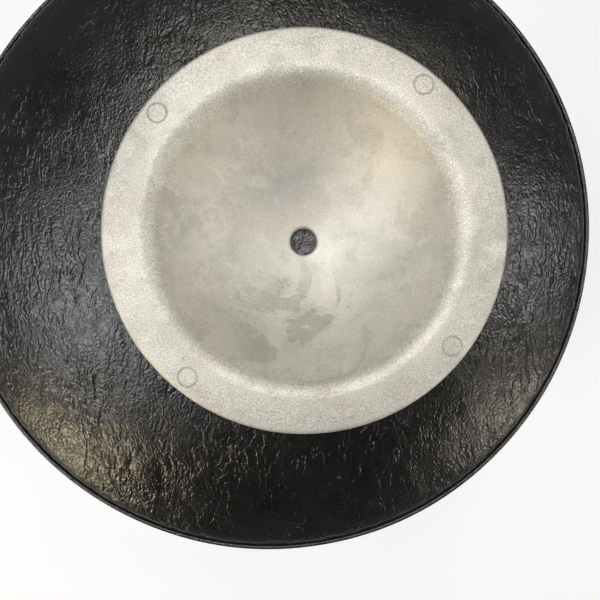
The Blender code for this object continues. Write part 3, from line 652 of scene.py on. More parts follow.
def pad_shell(crown, roll):
    """The pad's closed outside: the crown, an upright side and a flat bottom on the board, about Z."""
    radii = PAD_EDGE * np.sin(np.linspace(0, math.pi / 2, 40))
    top = np.stack([radii, WELT_Z + pad_height(radii, crown, roll)], 1)
    bottom, tucked = BOARD_TOP + GAP, PAD_EDGE - PAD_TUCK
    side = [(PAD_EDGE, WELT_Z - 2 * PAD_TUCK), (tucked, WELT_Z - 4 * PAD_TUCK), (tucked, bottom), (0, bottom)]
    return upright(turned(np.vstack([top, side]), 120))


def evaluated(obj, name):
    """A new mesh of the object as its modifiers leave it."""
    shape = obj.evaluated_get(bpy.context.evaluated_depsgraph_get())
    mesh = bpy.data.meshes.new_from_object(shape)
    mesh.name = name
    return mesh


def vertices(mesh):
    points = np.empty(len(mesh.vertices) * 3, np.float32)
    mesh.vertices.foreach_get("co", points)
    return points.reshape(-1, 3).astype(float)


def set_vertices(mesh, points):
    mesh.vertices.foreach_set("co", points.astype(np.float32).ravel())
    mesh.update()


def filled_pad(obj, swell):
    """Remeshes the pad evenly, and swells its top by cloth simulation with its edge and bottom held."""
    scene = bpy.context.scene
    remesh = obj.modifiers.new("even", "REMESH")
    remesh.mode = "VOXEL"
    remesh.voxel_size = PAD_VOXEL
    even = evaluated(obj, "seat_pad")
    obj.modifiers.clear()
    obj.data = even
    start = vertices(even)
    away = np.linalg.norm(start[:, :2] - AXIS, axis=1)
    held = obj.vertex_groups.new(name="held")
    fixed = np.flatnonzero((away > PAD_EDGE - PAD_HELD) | (start[:, 2] < WELT_Z))
    held.add(fixed.tolist(), 1.0, "REPLACE")
    cloth = obj.modifiers.new("fill", "CLOTH")
    cloth.settings.vertex_group_mass = "held"
    cloth.settings.use_pressure = True
    cloth.settings.uniform_pressure_force = PAD_PRESSURE
    cloth.settings.effector_weights.gravity = 0.0
    cloth.settings.quality = 5
    for step in range(1, FILL_STEPS + 1):
        scene.frame_set(step)
    swollen = vertices(evaluated(obj, "swollen"))
    obj.modifiers.clear()
    obj.vertex_groups.clear()
    scene.frame_set(1)
    move = swollen - start
    reach = np.linalg.norm(move, axis=1, keepdims=True)
    set_vertices(even, start + move * np.minimum(1.0, swell / np.maximum(reach, 1e-9)))


def broken_in(points, sizes):
    """Wrinkles the pad's top, and presses it down under the dish.

    The wrinkles are ridges where stretched noise crosses zero, deepest half way out, with small puckers
    where the seam gathers the edge, which bulges out over the welt by a bell curve. Under the dish the
    height is the smooth minimum of pad and dish."""
    offset = points[:, :2] - AXIS
    away = np.linalg.norm(offset, axis=1)
    angle = np.arctan2(offset[:, 1], offset[:, 0])
    top = np.clip((points[:, 2] - WELT_Z) / BULGE_RISE, 0, 1)
    polar = np.stack([angle * 0.16, 0.35 * away, 0 * away], 1)
    ridges = (1 - np.abs(noise(polar, 9 * MM, 3))) ** 4 * np.clip(noise(points, 45 * MM, 5) + 0.35, 0, 1)
    ridges += 0.6 * (1 - np.abs(noise(points, 13 * MM, 8))) ** 5
    swells = noise(points, 38 * MM, 11) + 0.5 * noise(points, 19 * MM, 12)
    shift = sizes.wrinkle * (swells - 0.9 * ridges)
    edge = np.clip(1 - (PAD_EDGE - away) / PUCKER, 0, 1) ** 2
    gathers = np.sin(angle * round(2 * math.pi * PAD_EDGE / PUCKER) + 2.5 * noise(points, 30 * MM, 21))
    points[:, 2] += top * (shift * (1 - edge) + 0.35 * MM * edge * gathers)
    rise = (points[:, 2] - WELT_Z - BULGE_RISE) / BULGE_RISE
    out = BULGE * np.exp(-rise ** 2) * np.clip((away - 0.93 * PAD_EDGE) / (0.06 * PAD_EDGE), 0, 1)
    points[:, :2] += offset / np.maximum(away, MM)[:, None] * out[:, None]
    under, beside = dish_underside(points)
    over = (points[:, 2] - (under - GAP)) / PAD_SOFT
    dip = PAD_SOFT * np.log1p(np.exp(np.clip(over, -30, 30)))
    points[:, 2] -= top * np.where(beside < DENT_REACH, dip, 0)
    return points


def seat_pad(sizes):
    """The cover's top over its foam, closed underneath, with its sewn edge inside the welt."""
    obj = made("seat_pad", pad_shell(sizes.crown - SWELL_SHARE * sizes.swell, sizes.roll))
    filled_pad(obj, sizes.swell)
    smooth = obj.modifiers.new("even", "CORRECTIVE_SMOOTH")
    smooth.iterations = 4
    smooth.use_only_smooth = True
    finer = obj.modifiers.new("finer", "SUBSURF")
    finer.levels = finer.render_levels = 1
    mesh = evaluated(obj, "seat_pad")
    obj.modifiers.clear()
    obj.data = mesh
    set_vertices(mesh, broken_in(vertices(mesh), sizes))
    mesh.shade_smooth()
    fitted(obj, "seat", "cover", "top_panel", "foam_pad")


def side_band():
    """The cover's side, a sheet of one thickness from the welt down and in under the board.

    Radius and height follow the section; the side bellies by sin(pi * h), and ripples where it is pulled."""
    low, top = height("side_band")[0], WELT_Z - GAP
    thick, corner = 1.3 * MM, 5 * MM
    hem = BAND_EDGE - 28.5 * MM
    outer = [(BAND_EDGE, top), (BAND_EDGE, low), (hem, low)]
    inner = [(hem, low + thick), (BAND_EDGE - thick, low + thick), (BAND_EDGE - thick, top)]
    wall = np.linspace(outer[0], (BAND_EDGE, low + corner), 26)
    bend = eased(outer, corner, 8, closed=False)[1:-1]
    tuck = np.linspace((BAND_EDGE - corner, low), outer[2], 12)
    profile = np.vstack([wall, bend, tuck, eased(inner, 3 * MM, 4, closed=False)])
    angle = circle(360)
    r = profile[None, :, 0] + 0 * angle
    z = profile[None, :, 1] + 0 * angle
    rise = np.clip((z - low) / (top - low), 0, 1)
    flat = around(r, angle, z).reshape(-1, 3)
    belly = np.sin(math.pi * rise)
    ripple = noise(flat * (1, 1, 0.35), 16 * MM, 31).reshape(r.shape)
    swell = 1.0 * MM * belly + 0.35 * MM * ripple * belly ** 0.7
    seam = np.exp(-(((angle - math.pi / 2) * BAND_EDGE) / (1.2 * MM)) ** 2)
    swell = swell - 0.6 * MM * seam * belly ** 0.3
    pleat = np.clip((BAND_EDGE - corner - r) / (20 * MM), 0, 1) * (z < low + 0.5 * thick)
    fold = np.abs(np.sin(angle * 36 + 0.8 * np.sin(angle * 5))) ** 6
    flare = 0.9 * MM * rise ** 12
    r = r + np.where(rise > 0.001, swell + flare, 0)
    grid = around(r, angle, z - 0.25 * MM * pleat * fold, AXIS)
    obj = piece("cover_side", [shell(grid, True, True)], "seat", "band", "side_band")


def welt(sizes):
    """The welt: a cord under PVC, carried round the seat, its thickness gathered a little at each stitch."""
    radius = 0.36 * WELT_THICK
    ring = WELT_OUT - radius
    stitches = round(2 * math.pi * ring / sizes.stitch)
    angle, section = circle(stitches * 4), circle(12).T
    wave = radius * (1 - 0.05 * np.cos(angle * stitches) ** 2)
    r = ring + wave * np.cos(section) + 0.15 * MM * np.sin(7 * angle) * np.cos(3 * angle)
    grid = around(r, angle, WELT_Z + wave * np.sin(section), AXIS)
    piece("cover_welt", [shell(grid, True, True)], "seat", "piping", "top_welt")
    out = around(1, (np.arange(stitches) + 0.5) * 2 * math.pi / stitches, 0)
    thread = 0.28 * MM
    half = 0.36 * sizes.stitch
    profile = [(0, half), (0.6 * thread, half - 0.1 * MM), (thread, half - 0.5 * MM)]
    profile += [(r, -z) for r, z in profile[::-1]]
    places = np.array([*AXIS, WELT_Z + 0.75 * radius]) + out * (ring - 0.70 * radius)
    stitching = repeated(turned(profile, 6), places, out, np.cross(Z_AXIS, out))
    piece("welt_stitches", [stitching], "seat", "thread")


def staple():
    """A round wire carried along a staple's crown and the tops of its legs."""
    wire, half, leg = 0.35 * MM, 5 * MM, 1.2 * MM
    path = eased([(-half, leg), (-half, 0), (half, 0), (half, leg)], 0.8 * MM, 3, closed=False)
    run = np.gradient(path, axis=0)
    run /= np.linalg.norm(run, axis=1, keepdims=True)
    turn = circle(6).T
    x = path[:, :1] - wire * run[:, 1:] * np.cos(turn)
    z = path[:, 1:] + wire * run[:, :1] * np.cos(turn)
    return shell(np.stack([x, wire * np.sin(turn) + 0 * x, z], -1), False, True)


def underside():
    """The dust cover with the staples that hold it, and the materials of the board and its tee nuts."""
    low, high = height("dust_cover")
    edge = outside("dust_cover")
    hole = outside("seat_bracket") + 2 * MM
    radii = np.concatenate([np.linspace(hole, edge, 40), np.linspace(edge, hole, 40)])
    level = np.repeat([low, high], 40)
    angle = circle(180)
    r = radii[None] + 0 * angle
    sag = 0.5 * MM * (1 + noise(around(r, angle, 0 * r).reshape(-1, 3), 30 * MM, 41).reshape(r.shape))
    sag = sag * np.sin(math.pi * np.clip((r - hole) / (edge - hole), 0, 1))
    obj = piece("dust_cloth", [shell(around(r, angle, level[None] - sag, AXIS), True, True)],
                "seat", "underside", "dust_cover")
    number = np.arange(STAPLES)
    angle = (number + 0.25) * 2 * math.pi / STAPLES
    along = np.cross(Z_AXIS, around(1, angle + 0.25 * np.sin(number * 2.4), 0))
    places = around(edge - 7 * MM, angle, low - 0.2 * MM, AXIS)
    row = repeated(staple(), places, along, np.tile([0.0, 0.0, 1.0], (STAPLES, 1)))
    piece("cover_staples", [row], "seat", "zinc")
    carried("seat_board", "plywood")
    for number in BOLTS:
        carried(f"tee_nut_{number}", "zinc")


def carried(node, finish):
    """Gives a CAD node that stays as it is its finish."""
    finished(frame["nodes"][node], finish)


# The dish

def dish_section():
    """The dish's closed section of (r, z) below its rim: rim edge, underside, hole and bowl, clockwise."""
    fillet_r = math.sqrt((DISH_BOWL + DISH_FILLET) ** 2 - (BOWL_CENTRE + DISH_FILLET) ** 2)
    tangent = math.atan2(fillet_r, BOWL_CENTRE + DISH_FILLET)
    half = DISH_WALL / 2
    edge_r = DISH_RIM - half
    outer = DISH_BOWL + DISH_WALL

    def flange(r):
        """Crowned by DISH_DROP from its crest, where the fillet ends, to its edge."""
        return -DISH_DROP * ((r - fillet_r) / (edge_r - fillet_r)) ** 2

    def on_bowl(radius, a):
        return np.stack([radius * np.sin(a), BOWL_CENTRE - radius * np.cos(a)], 1)

    def on_fillet(radius, a):
        return np.stack([fillet_r - radius * np.sin(a), radius * np.cos(a) - DISH_FILLET], 1)

    def at_hole(radius, ease=0.0):
        """The angle at which a sphere about the bowl's centre reaches the hole."""
        return math.asin((DISH_HOLE + ease) / radius)

    r_out = np.linspace(fillet_r, edge_r, 14)[1:]
    top = np.stack([r_out, flange(r_out)], 1)
    a = np.linspace(math.pi / 2, -math.pi / 2, 14)[1:-1]
    edge = np.stack([edge_r + half * np.cos(a), half * np.sin(a) - half - DISH_DROP], 1)
    under_flange = np.stack([r_out[::-1], flange(r_out[::-1]) - DISH_WALL], 1)
    under = on_fillet(DISH_FILLET - DISH_WALL, np.linspace(0, tangent, 9))
    under_bowl = on_bowl(outer, np.linspace(tangent, at_hole(outer, 0.4 * MM), 36))[1:]
    throat = on_bowl(outer - 0.45 * MM, np.array([at_hole(outer)]))
    lip = on_bowl(DISH_BOWL + 0.55 * MM, np.array([at_hole(DISH_BOWL)]))
    bowl = on_bowl(DISH_BOWL, np.linspace(at_hole(DISH_BOWL, 0.6 * MM), tangent, 70))
    fillet = on_fillet(DISH_FILLET, np.linspace(tangent, 0, 16))[1:]
    upper = np.vstack([lip, bowl, fillet, top])
    return np.vstack([top, edge, under_flange, under, under_bowl, throat, lip, bowl, fillet]), upper


def raised_mark(x, y, relief):
    """A small closed ring on the dish's upper surface, whose height is read off the section: its
    (distance, height) relief turned about (x, y)."""
    upper = dish_section()[1]
    grid = around(relief[None, :, 0], circle(48), relief[None, :, 1], (x, y))
    grid[..., 2] += np.interp(np.hypot(grid[..., 0], grid[..., 1]), upper[:, 0], upper[:, 1])
    return moved(shell(grid, True, True), DISH_ORIGIN)


def cast_dish(sizes):
    """The dish: its section turned about its axis, with the slight unevenness of a casting, the rings
    left by four ejector pins on the flange and a pip in the bowl."""
    points, faces = turned(dish_section()[0], 288, closed=True)
    away = np.hypot(points[:, 0], points[:, 1])[:, None]
    outward = np.concatenate([points[:, :2] / away, 0 * away], 1)
    waves = noise(points + 0.5, 24 * MM, 51) + 0.4 * noise(points + 0.5, 9 * MM, 52)
    points = points + outward * (0.10 * MM * waves)[:, None] * (away > 1.3 * DISH_HOLE)
    points[:, 2] += 0.05 * MM * noise(points + 0.7, 15 * MM, 53)
    piece("dish", [moved((points, faces), DISH_ORIGIN)], "dish", "casting", "cast_dish", sharp=50)
    ring = [(-0.44, -0.15), (-0.28, 0.20), (0, 0.34), (0.28, 0.20), (0.44, -0.15), (0, -0.3)]
    ring = np.array(ring) * MM + (sizes.mark, 0)
    piece("ejector_marks", [raised_mark(x, y, ring) for x, y in mark_places()], "dish", "casting", sharp=60)
    pip = [(0.55, -0.2), (0.70, 0.12), (0.95, 0.22), (1.15, 0.12), (1.3, -0.2), (0.95, -0.4)]
    piece("casting_pip", [raised_mark(*PIP_PLACE, np.array(pip) * MM)], "dish", "casting", sharp=60)


# The stand

def tube(inner, outer, z0, z1, ease=0.4 * MM):
    """A round tube's closed section."""
    return eased([(outer, z1), (outer, z0), (inner, z0), (inner, z1)], ease, 3)


def rod(radius, z0, z1, sides):
    """A plain round rod with eased edges."""
    return turned(eased([(0, z1), (radius, z1), (radius, z0), (0, z0)], 0.3 * MM, 2, closed=False), sides)


def wing_bolt(sizes, name, length, tip, axis):
    """A wing bolt along its axis from the tip: shank with rolled thread rings, hub, and two wings."""
    shank, hub, hub_end, pitch = 3.8 * MM, 6.5 * MM, length + 12 * MM, 1.25 * MM
    profile = [(0, 0.3 * MM), (shank - 0.7 * MM, 0.3 * MM)]
    for i in range(int((length - 1.5 * MM) / pitch)):
        z = 0.9 * MM + pitch * i
        profile += [(shank, z), (shank - 0.45 * MM, z + 0.62 * MM)]
    profile += [(shank, length), (hub - 0.8 * MM, length), (hub, length + 0.9 * MM), (hub, hub_end - 5 * MM),
                (hub - 1.6 * MM, hub_end - 1.2 * MM), (hub - 3.2 * MM, hub_end), (0, hub_end)]
    parts = [turned(profile, sizes.sides // 2)]
    for side in (-1, 1):
        outline = capsule((length + 6.4 * MM, side * 2 * MM), 4.2 * MM,
                          (length + 13.3 * MM, side * 11.4 * MM), 5.4 * MM)
        parts.append(moved(plate(outline, 3.4 * MM, 1.2 * MM), (0, 0, 0), Z_AXIS, X_AXIS))
    across = np.cross(np.array(axis, float), Z_AXIS)
    piece(name, [moved(part, tip, across, axis) for part in parts], name.replace("_bolt", ""), "zinc", name)


def wing_bolts(sizes):
    """The three wing bolts, on the axes of their joints."""
    seat, collar, clamp = [JOINTS[f"{name}_wing_turn"]["pos_m"] for name in ("seat", "collar", "clamp")]
    wing_bolt(sizes, "seat_wing_bolt", 13.3 * MM, (AXIS[0] - POST_R - GAP, AXIS[1], seat[2]), (-1, 0, 0))
    wing_bolt(sizes, "collar_wing_bolt", 11 * MM, (AXIS[0], AXIS[1] + TUBE_R + GAP, collar[2]), Y_AXIS)
    wing_bolt(sizes, "clamp_wing_bolt", 27.3 * MM, (clamp[0], AXIS[1] + 18 * MM, clamp[2]), (0, -1, 0))


def rivet(grip, sides, origin, axis):
    """A rivet with two domed heads, about an axis through the origin, its heads `grip` each side of it."""
    dome = np.linspace(0, math.pi / 2, 7)
    head = np.stack([5 * MM * np.cos(dome) ** 0.8, grip + 0.25 * MM + 1.35 * MM * np.sin(dome)], 1)
    half = np.vstack([[(3 * MM, grip), (4.8 * MM, grip)], head])
    profile = np.vstack([half[::-1], half * (1, -1)])
    return moved(turned(profile, sides), origin, np.cross(axis, Z_AXIS), axis)


def leg_points(number):
    """A leg's pivots in its own plane, from the joints: brace foot, middle, top and ankle, and its side axis."""
    brace = JOINTS["tripod_fold" if number == 1 else f"brace_{number}_fold"]
    low = np.array(brace["pos_m"], float)
    mid = np.array(JOINTS[f"leg_{number}_fold"]["pos_m"], float)
    top = low + np.array([0, 0, 2 * (mid[2] - low[2])])
    return low, mid, top, middle(f"foot_pin_{number}"), np.array(brace["axis"], float)


def strip_pair(body, first, last, half, spacing, side):
    """Two flat bars with round ends, one each side of the leg's plane."""
    run = last - first
    bar = plate(capsule((0, 0), half, (np.linalg.norm(run), 0), half, 18), STRIP, 0.45 * MM)
    for label, sign in (("right", 1), ("left", -1)):
        node = f"{body}_{label}"
        piece(f"{node}_strip", [moved(bar, first + side * sign * spacing, run, side)], body, "chrome", node)


def legs(sizes):
    """Each leg and its brace, as pairs of flat strips with their pins."""
    for number in LEGS:
        low, mid, top, ankle, side = leg_points(number)
        leg = f"leg_{number}"
        strip_pair(f"brace_{number}", low, mid, BRACE_HALF, BRACE_Y, side)
        strip_pair(leg, top, ankle, LEG_HALF, LEG_Y, side)
        for name, place, y, body in (("brace_pin", low, BRACE_Y, "base"), ("leg_pin", top, LEG_Y, "leg_collar"),
                                     ("middle_pin", mid, LEG_Y, leg), ("foot_pin", ankle, LEG_Y, leg)):
            pin = rivet(y + STRIP / 2 + GAP, sizes.sides // 2, place, side)
            piece(f"{name}_{number}_rivet", [pin], body, "zinc", f"{name}_{number}")


def feet():
    """Rubber feet: a ribbed round pad, flat below, with a thick tongue between the leg's strips."""
    profile = [(0, 11), (10.5, 11), (12.6, 9.6), (13.2, 6.5)]
    for rib in (6.1, 4.2, 2.3):
        profile += [(15, rib), (15, rib - 0.9), (14.1, rib - 1.3)]
    profile += [(14.5, 0), (0, 0)]
    pad = turned(eased(np.array(profile) * MM, 0.35 * MM, 2, closed=False), 48)
    for number in LEGS:
        *_, ankle, side = leg_points(number)
        node = f"foot_{number}"
        low, _ = height(node)
        outline = capsule((0, 0), 9 * MM, (ankle[2] - low - 7 * MM, 0), 6.5 * MM)
        tongue = moved(plate(outline, UPPER_EAR, 0.8 * MM), ankle, (0, 0, -1), side)
        parts = [moved(pad, (ankle[0], ankle[1], low)), tongue]
        piece(f"rubber_foot_{number}", parts, f"leg_{number}", "rubber", node)


def eared(name, sides, z, thickness, node, body, *extra):
    """A cast collar: a ring round the tube with an ear in each leg's plane, and other bosses."""
    low, high = height(node)
    parts = [upright(turned(tube(TUBE_R + GAP, COLLAR_R, low, high, 1.2 * MM), sides, True))]
    for number in LEGS:
        pivot, *_, side = leg_points(number)
        out = np.array([*(pivot[:2] - AXIS), 0])
        out /= np.linalg.norm(out)
        outline = capsule((TUBE_R + 3.4 * MM, 0), EAR_HALF + 2 * MM, (PIVOT_R, 0), EAR_HALF)
        outline[:, 0] = np.maximum(outline[:, 0], TUBE_R + 1.5 * MM)
        parts.append(moved(plate(outline, thickness, 0.9 * MM), (*AXIS, z), out, side))
    piece(name, parts + list(extra), body, "nickel", node)


def collars(sizes):
    """The collar fixed at the bottom of the tube, and the one that slides with the legs."""
    low, _, top, *_ = leg_points(1)
    eared("brace_collar", sizes.sides, low[2], LOWER_EAR, "lower_collar", "base")
    boss = turned(tube(*BOSS, TUBE_R + 2 * MM, 27 * MM, 0.9 * MM), sizes.sides // 2, True)
    eared("sliding_collar", sizes.sides, top[2], UPPER_EAR, "leg_collar", "leg_collar",
          moved(boss, (*AXIS, top[2]), X_AXIS, Y_AXIS))
    screw = [(0, 0.4), (1.4, 0.4), (1.4, 1.6), (2.1, 1.6), (2.5, 1.2), (2.5, -3.6), (0, -3.6)]
    head = moved(turned(np.array(screw) * MM, 24), (AXIS[0], AXIS[1] + COLLAR_R, low[2]), X_AXIS, Y_AXIS)
    piece("collar_grub_screw", [head], "base", "paint", "lower_collar_screw")


def split_ring(node, inner, outer, reach, half_width, sides):
    """A ring as high as its CAD node, with a slot at +X and a rounded lug each side of it."""
    low, high = height(node)
    gap = math.asin(RING_SLOT / 2 / outer)
    ring = part_turned(tube(inner, outer, low, high, 1.0 * MM), gap, 2 * math.pi - gap, sides)
    rise = (high - low) / 2 - 1 * MM
    outline = rounded_box(inner + 1.2 * MM, reach, -rise, rise, 4 * MM)
    wall = half_width - RING_SLOT / 2
    lug = plate(outline, wall, 0.8 * MM)
    places = [(0, side * (RING_SLOT + wall) / 2, (low + high) / 2) for side in (-1, 1)]
    lugs = [moved(lug, place, X_AXIS, (0, -1, 0)) for place in places]
    return [upright(part) for part in (ring, *lugs)]


def post_parts(sizes):
    """The post, its end plug, and the memory lock with its square-headed screw."""
    post = turned(tube(POST_R - PIPE_WALL, POST_R, *height("post"), 0.5 * MM), sizes.sides, True)
    piece("seat_post", [upright(post)], "post", "chrome", "post")
    carried("post_cap", "nylon")
    parts = split_ring("memory_lock", POST_R + 0.15 * MM, 19.5 * MM, 27.5 * MM, 8.5 * MM, sizes.sides)
    piece("lock_ring", parts, "post", "nickel", "memory_lock")
    low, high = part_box("memory_lock_screw")
    x, _, z = middle("memory_lock_screw")
    half = 3.2 * MM
    head = plate(rounded_box(-half, half, -half, half, 0.5 * MM), 8 * MM, 0.5 * MM)
    shank = rod(2.5 * MM, high.y, low.y + 7 * MM, sizes.sides // 2)
    parts = [moved(head, (x, low.y + 4 * MM, z), X_AXIS, Y_AXIS), moved(shank, (x, 0, z), X_AXIS, Y_AXIS)]
    piece("lock_screw", parts, "post", "zinc", "memory_lock_screw")


def tube_parts(sizes):
    """The lower tube with its bush and plug, and the clamp with its nut."""
    sides = sizes.sides
    low, high = height("lower_tube")
    body = turned(tube(TUBE_R - PIPE_WALL, TUBE_R, low, high, 0.5 * MM), sides, True)
    piece("stand_tube", [upright(body)], "base", "chrome", "lower_tube")
    carried("post_bush", "nylon")
    bottom, top = height("tube_plug")
    bore = TUBE_R - PIPE_WALL - GAP
    plug = eased([(0, top), (bore, top), (bore, low - GAP), (TUBE_R, low - GAP), (TUBE_R - 1 * MM, bottom),
                  (0, bottom)], 0.6 * MM, 3, closed=False)
    piece("tube_end_plug", [upright(turned(plug, sides))], "base", "nylon", "tube_plug")
    high = height("tube_clamp")[1]
    parts = split_ring("tube_clamp", TUBE_R + GAP, 22 * MM, 39 * MM, 9 * MM, sides)
    lip = part_turned(tube(POST_R + 0.5 * MM, 20 * MM, high - 4.6 * MM, high - 0.2 * MM, 0.5 * MM),
                      LIP_GAP, 2 * math.pi - LIP_GAP, sides)
    piece("clamp_casting", [*parts, upright(lip)], "base", "nickel", "tube_clamp")
    hexagon = plate(polygon(6, 7.5 * MM, 0.4 * MM), 6 * MM, 0.5 * MM)
    piece("clamp_hex_nut", [moved(hexagon, middle("clamp_nut"), X_AXIS, Y_AXIS)], "base", "zinc", "clamp_nut")


def bracket(sizes):
    """The bracket: a flange with its socket turned in one, a boss for the wing bolt, and its four bolts."""
    low, high = height("seat_bracket")
    edge, fillet = outside("seat_bracket"), 5 * MM
    under, socket, bore = high - 5 * MM, 17.5 * MM, POST_R + 0.15 * MM
    neck = [(socket + fillet - fillet * math.sin(a), under - fillet * (1 - math.cos(a)))
            for a in np.linspace(0, math.pi / 2, 8)]
    section = [(edge, high), (edge, under)] + neck + [(socket, low), (bore, low), (bore, high)]
    body = upright(turned(eased(section, 0.7 * MM, 3), sizes.sides * 2, True))
    boss = turned(tube(*BOSS, 15 * MM, 26 * MM, 0.8 * MM), sizes.sides // 2, True)
    boss = moved(boss, (*AXIS, JOINTS["seat_wing_turn"]["pos_m"][2]), Y_AXIS, (-1, 0, 0))
    piece("bracket_casting", [body, boss], "seat", "paint", "seat_bracket")
    for number in BOLTS:
        node = f"bracket_bolt_{number}"
        low, high = height(node)
        x, y, _ = middle(node)
        head = moved(plate(polygon(6, 5.8 * MM, 0.3 * MM), 4 * MM, 0.45 * MM), (x, y, low + 2 * MM))
        shank = moved(rod(3 * MM, low + 2 * MM, high, 24), (x, y, 0))
        piece(f"hex_bolt_{number}", [head, shank], "seat", "zinc", node)


# The stage

def softbox(name, direction, distance, size, radiance, code, focus):
    """An area lamp that faces the focus. Its power is radiance * pi * area."""
    lamp = bpy.data.lights.new(name, "AREA")
    lamp.shape = "DISK"
    lamp.size = size
    lamp.color = linear(code)
    lamp.energy = radiance * math.pi * math.pi * size ** 2 / 4
    obj = bpy.data.objects.new(name, lamp)
    aim = Vector(direction).normalized()
    obj.location = Vector(focus) + aim * distance
    obj.rotation_euler = aim.to_track_quat("Z", "Y").to_euler()
    bpy.context.scene.collection.objects.link(obj)


SOFTBOXES = (
    # name, direction from the seat, distance, size, radiance, colour
    ("overhead", (-0.02, 0.20, 1.0), 2.4, 0.80, 8.2, "#fffdfb"),
    ("window", (-0.63, -0.12, 0.77), 2.3, 1.10, 4.9, "#fafbff"),
    ("ceiling_left", (-0.30, 0.36, 1.0), 2.4, 0.60, 7.5, "#fffcf7"),
    ("ceiling_right", (1.15, 0.05, 1.0), 2.4, 0.70, 8.0, "#fffcf7"),
    ("skylight", (-0.10, 0.62, 0.80), 2.2, 0.60, 5.5, "#fffaf0"),
    ("ceiling_back", (0.45, 0.62, 1.0), 2.4, 0.50, 5.5, "#fff6e8"),
    ("right", (0.80, -0.52, 0.33), 2.2, 0.60, 8.0, "#fff3df"),
    ("lamp", (-0.70, -0.61, 0.36), 2.2, 0.54, 14.5, "#ffebc4"),
)
SKY_LOW, SKY_HIGH = 0.17, 0.04      # light of the sky near the horizon, and above
SKY_SEEN = 1.15                     # brightness of the backdrop
CAMERA_ABOVE_RIM = 190 * MM
CAMERA_FROM_AXIS = (17.2 * MM, -39.3 * MM)
LENS, SENSOR = 27.0, 36.0           # millimetres, as Blender's camera takes them


def sky(scene):
    """A grey light, brighter near the horizon than above, which shows as an even pale backdrop."""
    world = bpy.data.worlds.new("studio")
    world.use_nodes = True
    tree = world.node_tree
    tree.nodes.clear()
    seen = add(tree, "ShaderNodeLightPath").outputs["Is Camera Ray"]
    direction = add(tree, "ShaderNodeTexCoord").outputs["Generated"]
    up = add(tree, "ShaderNodeSeparateXYZ", {0: direction}).outputs["Z"]
    fill = between(tree, up, 0.2, 0.6, SKY_LOW, SKY_HIGH, smooth=True)
    light = add(tree, "ShaderNodeBackground", {"Color": rgba(linear("#f6f7fa")), "Strength": fill})
    shown = add(tree, "ShaderNodeBackground", {"Color": rgba(linear("#f8f8f9")), "Strength": SKY_SEEN})
    mix = add(tree, "ShaderNodeMixShader", {0: seen, 1: light.outputs[0], 2: shown.outputs[0]})
    add(tree, "ShaderNodeOutputWorld", {"Surface": mix.outputs[0]})
    scene.world = world


def stage(scene):
    """A pale floor, soft lamps, and a camera straight above the seat."""
    x, y = np.meshgrid([-FLOOR_REACH, FLOOR_REACH], [-FLOOR_REACH, FLOOR_REACH])
    floor = made("floor", shell(np.stack([x, y, 0 * x], -1), False, False))
    floor.data.materials.append(floor_material("matt_painted_floor", scene.throne_colours.floor))
    sky(scene)
    focus = (*AXIS, DISH_RIM_Z)
    for values in SOFTBOXES:
        softbox(*values, focus)
    lens = bpy.data.cameras.new("camera")
    lens.lens, lens.sensor_width = LENS, SENSOR
    camera = bpy.data.objects.new("camera", lens)
    x, y = CAMERA_FROM_AXIS
    camera.location = (AXIS[0] + x, AXIS[1] + y, DISH_RIM_Z + CAMERA_ABOVE_RIM)
    scene.collection.objects.link(camera)
    scene.camera = camera
    scene.view_settings.view_transform = "Standard"


class THRONE_OT_stage(bpy.types.Operator):
    """Makes the floor, the lamps and the camera"""
    bl_idname = "throne.stage"
    bl_label = "Stage"

    def execute(self, context):
        stage(context.scene)
        return {"FINISHED"}


class THRONE_OT_seat_pad(bpy.types.Operator):
    """Makes the padded top of the seat by cloth simulation"""
    bl_idname = "throne.seat_pad"
    bl_label = "Seat pad"

    def execute(self, context):
        seat_pad(context.scene.throne_sizes)
        return {"FINISHED"}


class THRONE_OT_cover_side(bpy.types.Operator):
    """Makes the side of the cover"""
    bl_idname = "throne.cover_side"
    bl_label = "Cover side"

    def execute(self, context):
        side_band()
        return {"FINISHED"}


class THRONE_OT_welt(bpy.types.Operator):
    """Makes the welt and its stitches"""
    bl_idname = "throne.welt"
    bl_label = "Welt"

    def execute(self, context):
        welt(context.scene.throne_sizes)
        return {"FINISHED"}


class THRONE_OT_underside(bpy.types.Operator):
    """Makes the dust cover with its staples, and finishes the board"""
    bl_idname = "throne.underside"
    bl_label = "Underside"

    def execute(self, context):
        underside()
        return {"FINISHED"}


class THRONE_OT_dish(bpy.types.Operator):
    """Makes the loose cast dish with its ejector marks"""
    bl_idname = "throne.dish"
    bl_label = "Cast dish"

    def execute(self, context):
        cast_dish(context.scene.throne_sizes)
        return {"FINISHED"}


class THRONE_OT_bracket(bpy.types.Operator):
    """Makes the bracket under the seat and its bolts"""
    bl_idname = "throne.bracket"
    bl_label = "Seat bracket"

    def execute(self, context):
        bracket(context.scene.throne_sizes)
        return {"FINISHED"}


class THRONE_OT_post(bpy.types.Operator):
    """Makes the post and its memory lock"""
    bl_idname = "throne.post"
    bl_label = "Post"

    def execute(self, context):
        post_parts(context.scene.throne_sizes)
        return {"FINISHED"}


class THRONE_OT_tube(bpy.types.Operator):
    """Makes the lower tube, its plug and its clamp"""
    bl_idname = "throne.tube"
    bl_label = "Tube and clamp"

    def execute(self, context):
        tube_parts(context.scene.throne_sizes)
        return {"FINISHED"}


class THRONE_OT_collars(bpy.types.Operator):
    """Makes the two cast collars"""
    bl_idname = "throne.collars"
    bl_label = "Collars"

    def execute(self, context):
        collars(context.scene.throne_sizes)
        return {"FINISHED"}


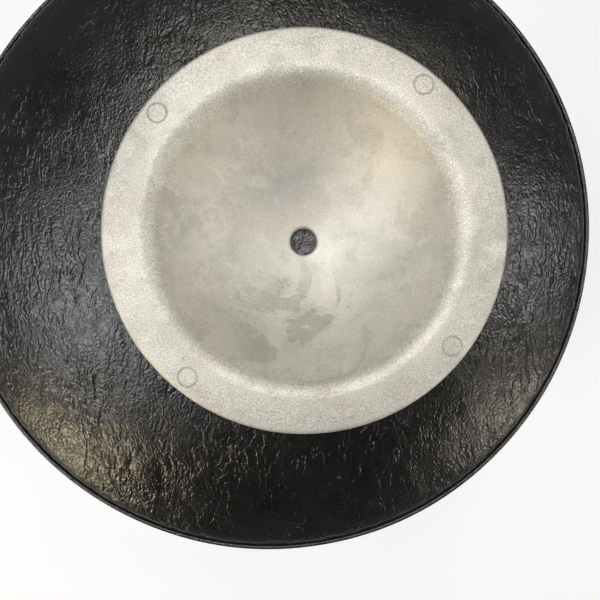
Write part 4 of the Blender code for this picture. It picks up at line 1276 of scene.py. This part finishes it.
class THRONE_OT_legs(bpy.types.Operator):
    """Makes the legs, the braces and their rivets"""
    bl_idname = "throne.legs"
    bl_label = "Legs and braces"

    def execute(self, context):
        legs(context.scene.throne_sizes)
        return {"FINISHED"}


class THRONE_OT_feet(bpy.types.Operator):
    """Makes the rubber feet"""
    bl_idname = "throne.feet"
    bl_label = "Rubber feet"

    def execute(self, context):
        feet()
        return {"FINISHED"}


class THRONE_OT_wing_bolts(bpy.types.Operator):
    """Makes the three wing bolts"""
    bl_idname = "throne.wing_bolts"
    bl_label = "Wing bolts"

    def execute(self, context):
        wing_bolts(context.scene.throne_sizes)
        return {"FINISHED"}


OPERATORS = (
    THRONE_OT_stage, THRONE_OT_dish, THRONE_OT_seat_pad, THRONE_OT_cover_side, THRONE_OT_welt,
    THRONE_OT_underside, THRONE_OT_bracket, THRONE_OT_post, THRONE_OT_tube, THRONE_OT_collars,
    THRONE_OT_legs, THRONE_OT_feet, THRONE_OT_wing_bolts,
)


class THRONE_PT_panel(bpy.types.Panel):
    """Lists the settings and the pieces"""
    bl_idname = "THRONE_PT_panel"
    bl_label = "Drum Throne"
    bl_space_type = "VIEW_3D"
    bl_region_type = "UI"
    bl_category = "Throne"

    def draw(self, context):
        for group in (context.scene.throne_sizes, context.scene.throne_colours):
            box = self.layout.box()
            for name in group.__annotations__:
                box.prop(group, name)
        for operator in OPERATORS:
            self.layout.operator(operator.bl_idname)


CLASSES = (ThroneSizes, ThroneColours, *OPERATORS, THRONE_PT_panel)


def register():
    for cls in CLASSES:
        bpy.utils.register_class(cls)
    bpy.types.Scene.throne_sizes = PointerProperty(type=ThroneSizes)
    bpy.types.Scene.throne_colours = PointerProperty(type=ThroneColours)


def unregister():
    del bpy.types.Scene.throne_colours
    del bpy.types.Scene.throne_sizes
    for cls in reversed(CLASSES):
        bpy.utils.unregister_class(cls)


def main():
    register()
    for operator in OPERATORS:
        group, name = operator.bl_idname.split(".")
        getattr(getattr(bpy.ops, group), name)()


if __name__ == "__main__":
    main()
